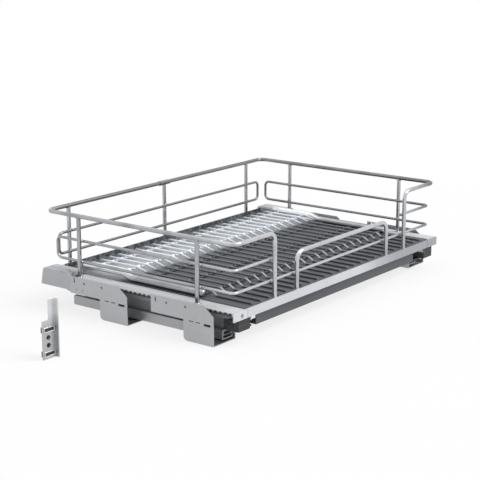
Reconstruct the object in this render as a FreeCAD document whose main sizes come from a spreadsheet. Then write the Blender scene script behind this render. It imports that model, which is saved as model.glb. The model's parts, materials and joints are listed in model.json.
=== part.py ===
import FreeCAD, Part
import math
import os
import re
import Sketcher

# Pull-out pot rack for a base unit: a wire basket on a steel tray, carried by two
# telescopic runners that are held to the cabinet sides by folded brackets.
# X runs across the cabinet, Y from the front to the back, Z up.
# The origin is the middle of the front bar's face, where a front panel seats.

# Driving sizes in millimetres: name, value, meaning
SIZES = (
    ("overall_width", 664, "clear width between the cabinet sides"),
    ("bracket_sheet", 1.5, "sheet of the mounting brackets"),
    ("bracket_front", 33, "front edge of the front bracket behind the front bar"),
    ("plate_end_gap", 2.5, "rear wall plate in front of the side flange's back end"),
    ("box_length", 62, "length of the bracket's box"),
    ("box_width", 57, "width of the bracket's box"),
    ("box_drop", 59, "bottom of the box below the flange"),
    ("box_inner_height", 30, "height of the box's inner wall"),
    ("box_corner", 8, "rounding of the box's lower rear corner"),
    ("plate_length", 131, "length of the bracket's wall plate"),
    ("plate_rise", 6, "top of the wall plate above the flange"),
    ("plate_drop", 23.5, "bottom of the wall plate below the flange"),
    ("nose_length", 21, "length of the slanted front corner of the plate"),
    ("nose_drop", 16, "drop of the slanted front corner of the plate"),
    ("screw_hole", 4.5, "wood screw holes in the wall plate"),
    ("screw_hole_start", 58, "first screw hole behind the bracket's front edge"),
    ("screw_hole_spacing", 40, "between the two screw holes"),
    ("screw_hole_drop", 3, "screw holes below the flange"),
    ("key_slot_start", 121, "upright slot behind the bracket's front edge"),
    ("key_slot_width", 3, "width of the upright slot"),
    ("key_slot_height", 9, "height of the upright slot"),
    ("latch_slot_start", 6, "slot in the box wall behind the bracket's front edge"),
    ("latch_slot_length", 14, "length of the slot in the box wall"),
    ("latch_slot_height", 4, "height of the slot in the box wall"),
    ("fold_slot_length", 9, "length of the short fold slots"),
    ("fold_slot_gap", 7.2, "from the long slot to the first short one"),
    ("fold_slot_pitch", 14.4, "between the short slots"),
    ("fold_slot_height", 1.4, "height of the short fold slots"),
    ("side_gap", 10, "between the tray's side flanges and the cabinet sides"),
    ("tray_depth", 428, "front bar's face to the back of the back bar"),
    ("tray_sheet", 2, "sheet of the tray's frame"),
    ("flange_width", 49, "width of the side flanges"),
    ("flange_length", 350, "length of the wide part of the side flanges"),
    ("flange_tail", 15, "width of the side flanges behind their wide part"),
    ("flange_lip", 5, "depth of the flange's outer lip"),
    ("inner_wall_depth", 22, "depth of the side rail's inner wall"),
    ("tab_height", 13, "height of the side rail's front tab"),
    ("flange_level", 8.5, "flanges above the middle of a seated front panel"),
    ("bar_height", 15, "height of the front bar"),
    ("bar_inset", 37, "ends of the front bar in from the tray's sides"),
    ("bar_gap", 1, "between the front bar and the side rails' front tabs"),
    ("bar_lip", 16, "depth of the front bar's lips"),
    ("back_lip", 20, "depth of the back bar's lip"),
    ("back_height", 24, "height of the back bar"),
    ("stiffener_inset", 23, "ends of the front stiffener in from the inner walls"),
    ("stiffener_height", 22, "height of the front stiffener"),
    ("stiffener_depth", 20, "depth of the front stiffener"),
    ("stiffener_setback", 10, "stiffener behind the front bar's face"),
    ("frame_screw", 4, "shank of the frame screws"),
    ("frame_screw_head", 7.5, "head of the frame screws"),
    ("frame_screw_sink", 1.2, "depth that the screw heads are let in"),
    ("frame_screw_length", 12, "length of the frame screws"),
    ("frame_screw_inset", 22, "frame screws in from the tray's sides"),
    ("panel_sheet", 1.5, "sheet of the floor panel"),
    ("panel_overlap", 17, "floor panel on the side flanges"),
    ("panel_front_gap", 0.5, "floor panel behind the front bar's sheet"),
    ("panel_notch_gap", 0.6, "round the rods' feet in the panel's front edge"),
    ("panel_back_gap", 6, "floor panel in front of the back bar's lip"),
    ("panel_upstand", 9.5, "height of the panel's turned-up back edge"),
    ("rod_dia", 7.5, "rod of the top rail, guard and posts"),
    ("wire_dia", 5, "wire of the side wire and back loop"),
    ("weld_gap", 0.1, "between rods that are welded to each other"),
    ("rail_inset", 10, "rods and posts in from the tray's sides and back"),
    ("rail_height", 108, "middle of the top rail above the flange"),
    ("rail_setback", 6, "front line of the rods behind the front bar's face"),
    ("rail_corner", 14, "bend of the top rail's corners"),
    ("return_half", 205, "front ends of the top rail from the middle"),
    ("guard_half", 142, "posts of the low guard from the middle"),
    ("guard_height", 63, "top of the low guard above the flange"),
    ("guard_bend", 16, "bend of the low guard"),
    ("upper_wire", 63.5, "upper side wire above the flange"),
    ("lower_wire", 26.5, "lower side wire above the flange"),
    ("loop_bend", 9, "bend of the upright ends of the wires"),
    ("loop_inset", 20, "ends of the back loop in from the side rods"),
    ("side_wire_gap", 17, "rear ends of the side wire in front of the back rail"),
    ("wire_overrun", 4, "side wire past the front posts that it ends at"),
    ("back_post_inset", 13, "outer back posts in from the inner walls"),
    ("front_post_run", 76, "front side posts behind the front line of the rods"),
    ("rear_post_inset", 7, "rear side posts in front of the side flange's back end"),
    ("floor_wire", 4, "floor wires"),
    ("floor_wire_count", 24, "number of floor wires"),
    ("floor_wire_margin", 8.2, "outer floor wires in from the side tubes"),
    ("floor_wire_bend", 4, "bends of the floor wires"),
    ("floor_wire_gap", 3, "floor wires behind the panel's front edge"),
    ("floor_wire_tail", 42, "floor wires in front of the panel's turned-up edge"),
    ("cross_rod", 5.5, "cross rods under the floor wires"),
    ("front_step", 78, "front row of steps behind the front bar's face"),
    ("front_run", 9, "length of the front row of steps"),
    ("back_step", 250, "back row of steps behind the front bar's face"),
    ("back_run", 20, "length of the back row of steps"),
    ("back_rise", 6, "height of the back row of steps"),
    ("cross_rod_inset", 14, "cross rods from the ends of their level"),
    ("side_tube", 12, "thick side tubes of the floor"),
    ("side_tube_inset", 9, "side tubes in from the floor panel's sides"),
    ("side_tube_lead", 6, "side tubes in front of the middle level's first rod"),
    ("runner_inset", 30, "middle of each runner in from the tray's sides"),
    ("runner_width", 26, "width of the runner's channels"),
    ("runner_sheet", 1.5, "sheet of the runner's members"),
    ("runner_front", 36, "front end of the runner behind the front bar's face"),
    ("cabinet_rail_tail", 16, "cabinet rail past the shut middle rail"),
    ("runner_drop", 54, "bottom of the cabinet rail below the flange"),
    ("drawer_rail_front", 16, "front end of the drawer rail"),
    ("channel_lip", 6, "inward lips of the channels"),
    ("middle_flange", 8, "thickness of the middle rail's flanges"),
    ("middle_web", 6, "thickness of the middle rail's web"),
    ("slide_gap", 0.5, "clearance beside and under the middle rail's flanges"),
    ("roller_dia", 4, "rollers"),
    ("roller_length", 17, "length of the rollers"),
    ("roller_gap", 0.3, "clearance over and under a roller"),
    ("roller_count", 5, "rollers in a cage"),
    ("roller_pitch", 24, "between the rollers"),
    ("cage_front", 130, "front end of the roller cages"),
    ("cage_sheet", 2, "thickness of the roller cages"),
    ("cage_margin", 2, "rim of the cage beside its windows"),
    ("cage_gap", 0.3, "clearance of a roller in its window"),
    ("shim_width", 20, "width of the height shims"),
    ("shim_inset", 8, "height shims in from the ends of the box"),
    ("rivet_dia", 5, "flush rivets"),
    ("rivet_gap", 0.1, "clearance of a rivet in its hole"),
    ("housing_width", 38, "width of the rear housing"),
    ("housing_length", 64, "length of the rear housing"),
    ("housing_gap", 4, "rear housing behind the side flange"),
    ("housing_rise", 8.5, "top of the rear housing above the flange"),
    ("housing_drop", 19, "bottom of the rear housing below the flange"),
    ("housing_wall", 2.5, "walls of the rear housing"),
    ("housing_taper", 5, "slant of the rear housing's back end"),
    ("tongue_length", 44, "tongue of the rear housing inside the wall plate"),
    ("tongue_sheet", 2.5, "thickness of the tongue"),
    ("tongue_margin", 2, "tongue in from the wall plate's edges"),
    ("buffer_dia", 8, "rubber buffers"),
    ("buffer_gap", 0.4, "between the buffer and the shut tray"),
    ("buffer_inset", 14, "buffers in from the tray's sides"),
    ("clip_width", 30, "width of the front clips"),
    ("clip_length", 30, "length of the front clips"),
    ("clip_height", 17, "height of the front clips under the drawer rail"),
    ("lever_setback", 20, "lever pins behind the front bar's face"),
    ("lever_length", 36, "release lever from its pin to its tip"),
    ("lever_width", 10, "width of the release lever"),
    ("lever_sheet", 3, "thickness of the release lever"),
    ("lever_gap", 0.4, "clearance of the release lever"),
    ("pin_dia", 4, "pins of the release levers"),
    ("pin_depth", 6, "depth of the pins in the front clips"),
    ("loose_gap", 180.5, "loose bracket from the left wall plates"),
    ("loose_run", 201, "loose bracket behind the front bar's face"),
    ("loose_width", 28.5, "width of the loose bracket"),
    ("loose_sheet", 2, "sheet of the loose bracket"),
    ("loose_body_height", 62.5, "height of the loose bracket's wide part"),
    ("loose_tongue_width", 14.5, "width of the loose bracket's tongue"),
    ("loose_tongue_height", 32, "height of the loose bracket's tongue"),
    ("loose_flange", 7, "depth of the loose bracket's side flange"),
    ("loose_slot_length", 20, "length of the loose bracket's slots"),
    ("loose_slot_height", 5.5, "height of the loose bracket's slots"),
    ("loose_slot_inset", 4, "slots in from the loose bracket's free edge"),
    ("loose_low_slot", 8, "lower slot above the loose bracket's foot"),
    ("loose_high_slot", 47, "upper slot above the loose bracket's foot"),
    ("loose_hole", 4.5, "screw holes of the loose bracket"),
    ("loose_low_hole", 22, "lower screw hole above the loose bracket's foot"),
    ("loose_hole_spacing", 12.5, "between the loose bracket's screw holes"),
)

doc = FreeCAD.newDocument("PotRack")
sheet = doc.addObject("Spreadsheet::Sheet", "Sizes")
for row, (alias, number, meaning) in enumerate(SIZES, start=1):
    sheet.set(f"A{row}", meaning)
    sheet.set(f"B{row}", str(number))
    sheet.setAlias(f"B{row}", alias)
doc.recompute()

ALIASES = {alias for alias, number, meaning in SIZES}
NODES = {}
SIDES = ("left", "right")


def bound(text):
    """An expression on the sheet, from one written with plain size names."""
    return re.sub(r"[a-z_]+", lambda word: tied(word.group(0)), text)


def tied(word):
    return f"Sizes.{word}" if word in ALIASES else word


def number(text):
    """The value of an expression written with plain size names."""
    return float(sheet.evalExpression(bound(text)))


def keep(label, thing):
    """Name a finished sub-part; its label is its node."""
    thing.Label = label
    NODES[label] = thing
    return thing


# Levels and places that several pieces share, all worked out from the sizes
TOP = "flange_level"
WALL = "overall_width / 2"
TRAY_SIDE = "(overall_width / 2 - side_gap)"
TRAY_INSIDE = f"({TRAY_SIDE} - flange_width)"
RUNNER_MIDDLE = f"({TRAY_SIDE} - runner_inset)"
BAR_HALF = f"({TRAY_SIDE} - bar_inset)"
PANEL_HALF = f"({TRAY_INSIDE} + panel_overlap)"
UNDER_FLANGE = f"({TOP} - tray_sheet)"
PANEL_TOP = f"({TOP} + panel_sheet)"
RAIL_SIDE = f"({TRAY_SIDE} - rail_inset)"
RAIL_BACK = "(tray_depth - rail_inset)"
WELD_STEP = "(rod_dia / 2 + wire_dia / 2 + weld_gap)"
ROLLER_SPACE = "(roller_dia + 2 * roller_gap)"
CHANNEL_HALF = "(runner_width / 2 - runner_sheet)"
CABINET_FLOOR = f"({TOP} - runner_drop + runner_sheet)"
MIDDLE_LOW = f"({CABINET_FLOOR} + {ROLLER_SPACE})"
CABINET_TOP = f"({MIDDLE_LOW} + middle_flange + slide_gap + runner_sheet)"
DRAWER_ROOF = f"({UNDER_FLANGE} - runner_sheet)"
MIDDLE_HIGH = f"({DRAWER_ROOF} - {ROLLER_SPACE})"
DRAWER_LOW = f"({MIDDLE_HIGH} - middle_flange - slide_gap - runner_sheet)"
BOX_FLOOR = f"({TOP} - box_drop)"
HOUSING_FRONT = "(flange_length + housing_gap)"
PANEL_FRONT = "(tray_sheet + panel_front_gap)"
PANEL_BACK = "(tray_depth - back_lip - panel_back_gap)"


def across(side, inner, outer):
    """Low and high X of a span given by its distances from the middle."""
    if side == "left":
        return f"-({outer})", f"-({inner})"
    return f"({inner})", f"({outer})"


def at(side, distance):
    """X of a place given by its distance from the middle."""
    return f"-({distance})" if side == "left" else f"({distance})"


# Sketched bodies
def new_body(name):
    return doc.addObject("PartDesign::Body", name)


def origin_plane(body, role):
    for feature in body.Origin.OriginFeatures:
        if feature.Role == role:
            return feature
    raise ValueError(role)


def new_sketch(body, role, offset):
    """A sketch on one of the body's origin planes, moved along its normal."""
    sketch = body.newObject("Sketcher::SketchObject", "Sketch")
    sketch.AttachmentSupport = [(origin_plane(body, role), "")]
    sketch.MapMode = "FlatFace"
    turned = f"-({offset})" if role == "XZ_Plane" else offset
    sketch.setExpression("AttachmentOffset.Base.z", bound(turned))
    return sketch


def fix_point(sketch, geometry, point, u, v):
    """Hold a point of the sketch at two expressions from the origin."""
    for kind, text in (("DistanceX", u), ("DistanceY", v)):
        value = number(text)
        index = sketch.addConstraint(Sketcher.Constraint(kind, -1, 1, geometry, point, value))
        name = f"{kind}_{geometry}_{point}"
        sketch.renameConstraint(index, name)
        sketch.setExpression(f"Constraints.{name}", bound(text))


def draw_outline(sketch, corners):
    """A closed outline of straight edges through the corners."""
    spots = [FreeCAD.Vector(number(u), number(v), 0) for u, v in corners]
    count = len(corners)
    first = sketch.GeometryCount
    for i in range(count):
        sketch.addGeometry(Part.LineSegment(spots[i], spots[(i + 1) % count]), False)
    for i in range(count):
        after = first + (i + 1) % count
        sketch.addConstraint(Sketcher.Constraint("Coincident", first + i, 2, after, 1))
    for i, (u, v) in enumerate(corners):
        fix_point(sketch, first + i, 1, u, v)


def rectangle(u, v):
    return [(u[0], v[0]), (u[1], v[0]), (u[1], v[1]), (u[0], v[1])]


def pad(body, role, corners, low, high):
    """Thicken an outline between two places along the plane's axis."""
    sketch = new_sketch(body, role, low)
    draw_outline(sketch, corners)
    feature = body.newObject("PartDesign::Pad", "Pad")
    feature.Profile = sketch
    feature.setExpression("Length", bound(f"({high}) - ({low})"))
    feature.Reversed = role == "XZ_Plane"
    return feature


def slab(body, x, y, z):
    """A plain block of a body, from low and high expressions on each axis."""
    return pad(body, "XZ_Plane", rectangle(x, z), y[0], y[1])


TOUCH = 1e-6


def round_corner(body, sheet, y, z, radius):
    """Round the corner of a sheet's outline that stands at one place of the YZ plane."""
    doc.recompute()
    spot = (number(y), number(z))
    edges = []
    for index, edge in enumerate(sheet.Shape.Edges, 1):
        if all(math.dist((end.Y, end.Z), spot) < TOUCH for end in edge.Vertexes):
            edges.append(f"Edge{index}")
    feature = body.newObject("PartDesign::Fillet", "Fillet")
    feature.Base = (sheet, edges)
    feature.setExpression("Radius", bound(radius))


def cut_through(body, sketch):
    """Take the sketch out of the body, right through it both ways."""
    doc.recompute()
    before = body.Shape.Volume
    feature = body.newObject("PartDesign::Pocket", "Pocket")
    feature.Profile = sketch
    feature.Type = "ThroughAll"
    feature.Midplane = True
    doc.recompute()
    if body.Shape.Volume >= before:
        raise RuntimeError(f"{body.Label}: a cut took nothing away")


def cut_window(body, role, u, v, offset):
    sketch = new_sketch(body, role, offset)
    draw_outline(sketch, rectangle(u, v))
    cut_through(body, sketch)


def cut_hole(body, role, u, v, diameter, offset):
    sketch = new_sketch(body, role, offset)
    centre = FreeCAD.Vector(number(u), number(v), 0)
    radius = number(diameter) / 2
    sketch.addGeometry(Part.Circle(centre, FreeCAD.Vector(0, 0, 1), radius), False)
    fix_point(sketch, 0, 3, u, v)
    index = sketch.addConstraint(Sketcher.Constraint("Diameter", 0, number(diameter)))
    sketch.renameConstraint(index, "bore")
    sketch.setExpression("Constraints.bore", bound(diameter))
    cut_through(body, sketch)


# Turned pieces, straight rods and groups of them
def cylinder(name, axis, diameter, centre, low, high):
    """A round bar along one axis; centre holds its place on the other two."""
    bar = doc.addObject("Part::Cylinder", name)
    bar.setExpression("Radius", bound(f"({diameter}) / 2"))
    bar.setExpression("Height", bound(f"({high}) - ({low})"))
    turns = {"x": (FreeCAD.Vector(0, 1, 0), 90), "y": (FreeCAD.Vector(1, 0, 0), -90)}
    if axis in turns:
        bar.Placement = FreeCAD.Placement(FreeCAD.Vector(), FreeCAD.Rotation(*turns[axis]))
    place = dict(zip([name for name in "xyz" if name != axis], centre))
    place[axis] = low
    for name, text in place.items():
        bar.setExpression(f"Placement.Base.{name}", bound(text))
    return bar


def cut(name, base, tools):
    result = base
    for tool in tools:
        trimmed = doc.addObject("Part::Cut", name)
        trimmed.Base = result
        trimmed.Tool = tool
        result = trimmed
    return result


def group(name, members):
    gathered = doc.addObject("Part::Compound", name)
    gathered.Links = members
    return gathered


# Bent rods
def bent_path(points, bends, closed):
    """Straight runs joined by tangent arcs; an end point of an open path has no bend."""
    spots = [FreeCAD.Vector(*[number(text) for text in point]) for point in points]
    count = len(spots)
    arcs = {}
    for i in range(count):
        if not closed and i in (0, count - 1):
            continue
        here = spots[i]
        back = (spots[i - 1] - here).normalize()
        ahead = (spots[(i + 1) % count] - here).normalize()
        half = back.getAngle(ahead) / 2
        radius = number(bends[i])
        reach = radius / math.tan(half)
        middle = (back + ahead).normalize()
        crown = here + middle * (radius / math.sin(half) - radius)
        arcs[i] = (here + back * reach, crown, here + ahead * reach)
    edges = []
    for i in range(count):
        after = (i + 1) % count
        if i in arcs:
            edges.append(Part.Arc(*arcs[i]).toShape())
        if after == 0 and not closed:
            break
        leave = arcs[i][2] if i in arcs else spots[i]
        arrive = arcs[after][0] if after in arcs else spots[after]
        edges.append(Part.LineSegment(leave, arrive).toShape())
    return Part.Wire(edges)


def bent_rod(name, diameter, points, bends, closed=False):
    """A round rod swept along a bent path."""
    path = doc.addObject("Part::Feature", f"{name}_path")
    path.Shape = bent_path(points, bends, closed)
    section = doc.addObject("Part::Circle", f"{name}_section")
    section.setExpression("Radius", bound(f"({diameter}) / 2"))
    first = path.Shape.OrderedEdges[0]
    start = first.valueAt(first.FirstParameter)
    heading = first.tangentAt(first.FirstParameter)
    section.Placement = FreeCAD.Placement(start, FreeCAD.Rotation(FreeCAD.Vector(0, 0, 1), heading))
    rod = doc.addObject("Part::Sweep", name)
    rod.Sections = [section]
    rod.Spine = (path, [f"Edge{i + 1}" for i in range(len(path.Shape.Edges))])
    rod.Solid = True
    rod.Frenet = False
    doc.recompute()
    expected = math.pi * section.Radius.Value ** 2 * path.Shape.Length
    if abs(rod.Shape.Volume - expected) > expected / 500:
        raise RuntimeError(f"{name}: the sweep lost its section")
    return rod


# Mounting brackets: a wall plate with an open box folded at its front end
def bracket_start(place):
    return "bracket_front" if place == "front" else "(flange_length - plate_end_gap - plate_length)"


def make_bracket(side, place):
    front = bracket_start(place)
    box_back = f"({front} + box_length)"
    plate_back = f"({front} + plate_length)"
    plate_top = f"({TOP} + plate_rise)"
    plate_low = f"({TOP} - plate_drop)"
    body = new_body(f"bracket_{side}_{place}")
    wall = across(side, f"{WALL} - bracket_sheet", WALL)
    plate = pad(body, "YZ_Plane", [
        (front, BOX_FLOOR),
        (front, f"{plate_top} - nose_drop"),
        (f"{front} + nose_length", plate_top),
        (plate_back, plate_top),
        (plate_back, plate_low),
        (box_back, plate_low),
        (box_back, BOX_FLOOR),
    ], wall[0], wall[1])
    round_corner(body, plate, box_back, BOX_FLOOR, "box_corner")
    run = (front, f"{box_back} - box_corner")
    slab(body, across(side, f"{WALL} - box_width", f"{WALL} - bracket_sheet"), run,
         (BOX_FLOOR, f"{BOX_FLOOR} + bracket_sheet"))
    slab(body, across(side, f"{WALL} - box_width", f"{WALL} - box_width + bracket_sheet"), run,
         (f"{BOX_FLOOR} + bracket_sheet", f"{BOX_FLOOR} + box_inner_height"))
    for step in ("0", "screw_hole_spacing"):
        cut_hole(body, "YZ_Plane", f"{front} + screw_hole_start + {step}", f"{TOP} - screw_hole_drop",
                 "screw_hole", wall[0])
    slot = f"({front} + key_slot_start)"
    cut_window(body, "YZ_Plane", (f"{slot} - key_slot_width / 2", f"{slot} + key_slot_width / 2"),
               (f"{TOP} - key_slot_height / 2", f"{TOP} + key_slot_height / 2"), wall[0])
    latch = f"({front} + latch_slot_start)"
    cut_window(body, "YZ_Plane", (latch, f"{latch} + latch_slot_length"),
               (f"{plate_low} - latch_slot_height", plate_low), wall[0])
    for place_in_row in range(2):
        fold = f"({latch} + latch_slot_length + fold_slot_gap + {place_in_row} * fold_slot_pitch)"
        cut_window(body, "YZ_Plane", (fold, f"{fold} + fold_slot_length"),
                   (f"{plate_low} - fold_slot_height", plate_low), wall[0])
    cut_hole(body, "XY_Plane", at(side, RUNNER_MIDDLE), f"{front} + box_length / 2",
             "rivet_dia + 2 * rivet_gap", BOX_FLOOR)
    return keep(f"bracket_{side}_{place}", body)


def make_shim(side, place):
    front = bracket_start(place)
    body = new_body(f"shim_{side}_{place}")
    slab(body, across(side, f"{RUNNER_MIDDLE} - shim_width / 2", f"{RUNNER_MIDDLE} + shim_width / 2"),
         (f"{front} + shim_inset", f"{front} + box_length - shim_inset"),
         (f"{BOX_FLOOR} + bracket_sheet", f"{TOP} - runner_drop"))
    cut_hole(body, "XY_Plane", at(side, RUNNER_MIDDLE), f"{front} + box_length / 2",
             "rivet_dia + 2 * rivet_gap", BOX_FLOOR)
    return keep(f"height_shim_{side}_{place}", body)


def make_rivets(side):
    rivets = []
    for place in ("front", "rear"):
        centre = (at(side, RUNNER_MIDDLE), f"{bracket_start(place)} + box_length / 2")
        rivets.append(cylinder(f"rivet_{side}_{place}", "z", "rivet_dia", centre, BOX_FLOOR, CABINET_FLOOR))
    return keep(f"runner_rivets_{side}", group(f"runner_rivets_{side}", rivets))


# Runners: two lipped channels with a middle rail and rollers between them
def channel_outline(side, back, mouth):
    """A lipped channel from its back plate to its mouth, opening towards the mouth."""
    half = "runner_width / 2"
    up = "+" if number(mouth) > number(back) else "-"
    away = "-" if up == "+" else "+"
    right = [
        (half, back),
        (half, mouth),
        (f"{CHANNEL_HALF} - channel_lip", mouth),
        (f"{CHANNEL_HALF} - channel_lip", f"{mouth} {away} runner_sheet"),
        (CHANNEL_HALF, f"{mouth} {away} runner_sheet"),
        (CHANNEL_HALF, f"{back} {up} runner_sheet"),
    ]
    left = [(f"-({u})", v) for u, v in reversed(right)]
    return [(f"{at(side, RUNNER_MIDDLE)} + ({u})", v) for u, v in right + left]


def make_cabinet_rail(side):
    body = new_body(f"cabinet_rail_{side}")
    outline = channel_outline(side, f"({TOP} - runner_drop)", CABINET_TOP)
    pad(body, "XZ_Plane", outline, "runner_front", "flange_length + cabinet_rail_tail")
    for place in ("front", "rear"):
        cut_hole(body, "XY_Plane", at(side, RUNNER_MIDDLE), f"{bracket_start(place)} + box_length / 2",
                 "rivet_dia + 2 * rivet_gap", BOX_FLOOR)
    return keep(f"cabinet_rail_{side}", body)


def make_drawer_rail(side):
    body = new_body(f"drawer_rail_{side}")
    outline = channel_outline(side, UNDER_FLANGE, DRAWER_LOW)
    pad(body, "XZ_Plane", outline, "drawer_rail_front", "flange_length")
    return keep(f"drawer_rail_{side}", body)


def make_middle_rail(side):
    """Two box flanges on a web, the lower in the cabinet rail and the upper in the drawer rail."""
    body = new_body(f"middle_rail_{side}")
    half = f"({CHANNEL_HALF} - slide_gap)"
    shoulder_low = f"({MIDDLE_LOW} + middle_flange)"
    shoulder_high = f"({MIDDLE_HIGH} - middle_flange)"
    right = [
        (half, MIDDLE_LOW),
        (half, shoulder_low),
        ("middle_web / 2", shoulder_low),
        ("middle_web / 2", shoulder_high),
        (half, shoulder_high),
        (half, MIDDLE_HIGH),
    ]
    left = [(f"-({u})", v) for u, v in reversed(right)]
    middle = at(side, RUNNER_MIDDLE)
    pad(body, "XZ_Plane", [(f"{middle} + ({u})", v) for u, v in right + left], "runner_front", "flange_length")
    hollow = f"({half} - runner_sheet)"
    for low in (MIDDLE_LOW, shoulder_high):
        cut_window(body, "XZ_Plane", (f"{middle} - {hollow}", f"{middle} + {hollow}"),
                   (f"{low} + runner_sheet", f"{low} + middle_flange - runner_sheet"), "runner_front")
    return keep(f"middle_rail_{side}", body)


def roller_level(level):
    """Middle height of the rollers in the lower or the upper channel."""
    if level == "lower":
        return f"({CABINET_FLOOR} + {ROLLER_SPACE} / 2)"
    return f"({DRAWER_ROOF} - {ROLLER_SPACE} / 2)"


def make_rollers(side, level):
    middle = at(side, RUNNER_MIDDLE)
    rollers = []
    for i in range(int(number("roller_count"))):
        centre = (f"cage_front + roller_pitch * {i + 0.5}", roller_level(level))
        rollers.append(cylinder(f"roller_{side}_{level}", "x", "roller_dia", centre,
                                f"{middle} - roller_length / 2", f"{middle} + roller_length / 2"))
    return keep(f"rollers_{side}_{level}", group(f"rollers_{side}_{level}", rollers))


def make_cage(side, level):
    middle = at(side, RUNNER_MIDDLE)
    window = "(roller_length / 2 + cage_gap)"
    body = new_body(f"roller_cage_{side}_{level}")
    height = roller_level(level)
    slab(body, (f"{middle} - {window} - cage_margin", f"{middle} + {window} + cage_margin"),
         ("cage_front", "cage_front + roller_pitch * roller_count"),
         (f"{height} - cage_sheet / 2", f"{height} + cage_sheet / 2"))
    for i in range(int(number("roller_count"))):
        seat = f"(cage_front + roller_pitch * {i + 0.5})"
        cut_window(body, "XY_Plane", (f"{middle} - {window}", f"{middle} + {window}"),
                   (f"{seat} - roller_dia / 2 - cage_gap", f"{seat} + roller_dia / 2 + cage_gap"), height)
    return keep(f"roller_cage_{side}_{level}", body)


# Rear housings, held to the rear wall plates by a tongue, with a rubber buffer each
def make_housing(side):
    body = new_body(f"rear_housing_{side}")
    back = f"({HOUSING_FRONT} + housing_length)"
    high = f"({TOP} + housing_rise)"
    low = f"({TOP} - housing_drop)"
    span = across(side, f"{WALL} - housing_width", WALL)
    profile = [
        (HOUSING_FRONT, low),
        (HOUSING_FRONT, high),
        (f"{back} - housing_taper", high),
        (back, low),
    ]
    pad(body, "YZ_Plane", profile, span[0], span[1])
    hollow = across(side, f"{WALL} - housing_width + housing_wall", f"{WALL} - housing_wall")
    cut_window(body, "XY_Plane", hollow,
               (f"{HOUSING_FRONT} + housing_wall", f"{back} - housing_taper - housing_wall"), low)
    slab(body, span, (f"{HOUSING_FRONT} + housing_wall / 2", f"{back} - housing_taper - housing_wall / 2"),
         (f"{high} - housing_wall", high))
    plate_back = f"({bracket_start('rear')} + plate_length)"
    tongue = across(side, f"{WALL} - bracket_sheet - tongue_sheet", f"{WALL} - bracket_sheet")
    slab(body, tongue, (f"{plate_back} - tongue_length", f"{HOUSING_FRONT} + housing_wall"),
         (f"{TOP} - plate_drop + tongue_margin", f"{TOP} - screw_hole_drop - screw_hole - tongue_margin"))
    slab(body, across(side, f"{WALL} - bracket_sheet - tongue_sheet", WALL),
         (plate_back, f"{HOUSING_FRONT} + housing_wall"), (low, high))
    for step in (1, 2):
        cut_hole(body, "YZ_Plane", *housing_rivet_place(step), "rivet_dia + 2 * rivet_gap", tongue[0])
    return keep(f"rear_housing_{side}", body)


def housing_rivet_place(step):
    plate_back = f"({bracket_start('rear')} + plate_length)"
    height = f"{TOP} - (plate_drop + screw_hole_drop + screw_hole) / 2"
    return f"{plate_back} - tongue_length + tongue_length * {step} / 3", height


def drill_rear_brackets(brackets):
    """Holes in the rear wall plates for the housing's rivets."""
    for side in SIDES:
        for step in (1, 2):
            cut_hole(brackets[side, "rear"], "YZ_Plane", *housing_rivet_place(step),
                     "rivet_dia + 2 * rivet_gap", at(side, WALL))


def make_housing_rivets(side):
    low, high = across(side, f"{WALL} - bracket_sheet - tongue_sheet", WALL)
    rivets = [cylinder(f"housing_rivet_{side}", "x", "rivet_dia", housing_rivet_place(step), low, high)
              for step in (1, 2)]
    return keep(f"housing_rivets_{side}", group(f"housing_rivets_{side}", rivets))


def make_buffer(side):
    centre = (at(side, f"{TRAY_SIDE} - buffer_inset"), UNDER_FLANGE)
    rubber = cylinder(f"buffer_{side}", "y", "buffer_dia", centre, "flange_length + buffer_gap", HOUSING_FRONT)
    return keep(f"buffer_{side}", rubber)


# Tray frame: two side rails, a front bar with its stiffener and a back bar
def make_side_rail(side):
    body = new_body(f"side_rail_{side}")
    sheet_span = (UNDER_FLANGE, TOP)
    slab(body, across(side, TRAY_INSIDE, TRAY_SIDE), ("tray_sheet", "flange_length"), sheet_span)
    slab(body, across(side, TRAY_INSIDE, f"{TRAY_INSIDE} + flange_tail"), ("flange_length", "tray_depth"),
         sheet_span)
    slab(body, across(side, f"{TRAY_SIDE} - tray_sheet", TRAY_SIDE), ("tray_sheet", "flange_length"),
         (f"{TOP} - flange_lip", UNDER_FLANGE))
    slab(body, across(side, TRAY_INSIDE, f"{TRAY_INSIDE} + tray_sheet"), ("tray_sheet", "tray_depth"),
         (f"{TOP} - inner_wall_depth", UNDER_FLANGE))
    slab(body, across(side, f"{BAR_HALF} + bar_gap", TRAY_SIDE), ("0", "tray_sheet"),
         (f"{UNDER_FLANGE} - tab_height", TOP))
    cut_hole(body, "XZ_Plane", *frame_screw_place(side), "frame_screw + 2 * rivet_gap", "0")
    seat = cylinder(f"screw_seat_{side}", "y", "frame_screw_head + 2 * rivet_gap", frame_screw_place(side),
                    "0", "frame_screw_sink")
    return keep(f"side_rail_{side}", cut(f"side_rail_sunk_{side}", body, [seat]))


def frame_screw_place(side):
    return at(side, f"{TRAY_SIDE} - frame_screw_inset"), f"{UNDER_FLANGE} - tab_height / 2"


def make_front_bar():
    body = new_body("front_bar")
    inside = (f"-{TRAY_INSIDE}", TRAY_INSIDE)
    foot = f"({TOP} - bar_height)"
    slab(body, (f"-{BAR_HALF}", BAR_HALF), ("0", "tray_sheet"), (foot, TOP))
    slab(body, inside, ("tray_sheet", "bar_lip"), (UNDER_FLANGE, TOP))
    slab(body, inside, ("tray_sheet", "bar_lip"), (foot, f"{foot} + tray_sheet"))
    return keep("front_bar", body)


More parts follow.
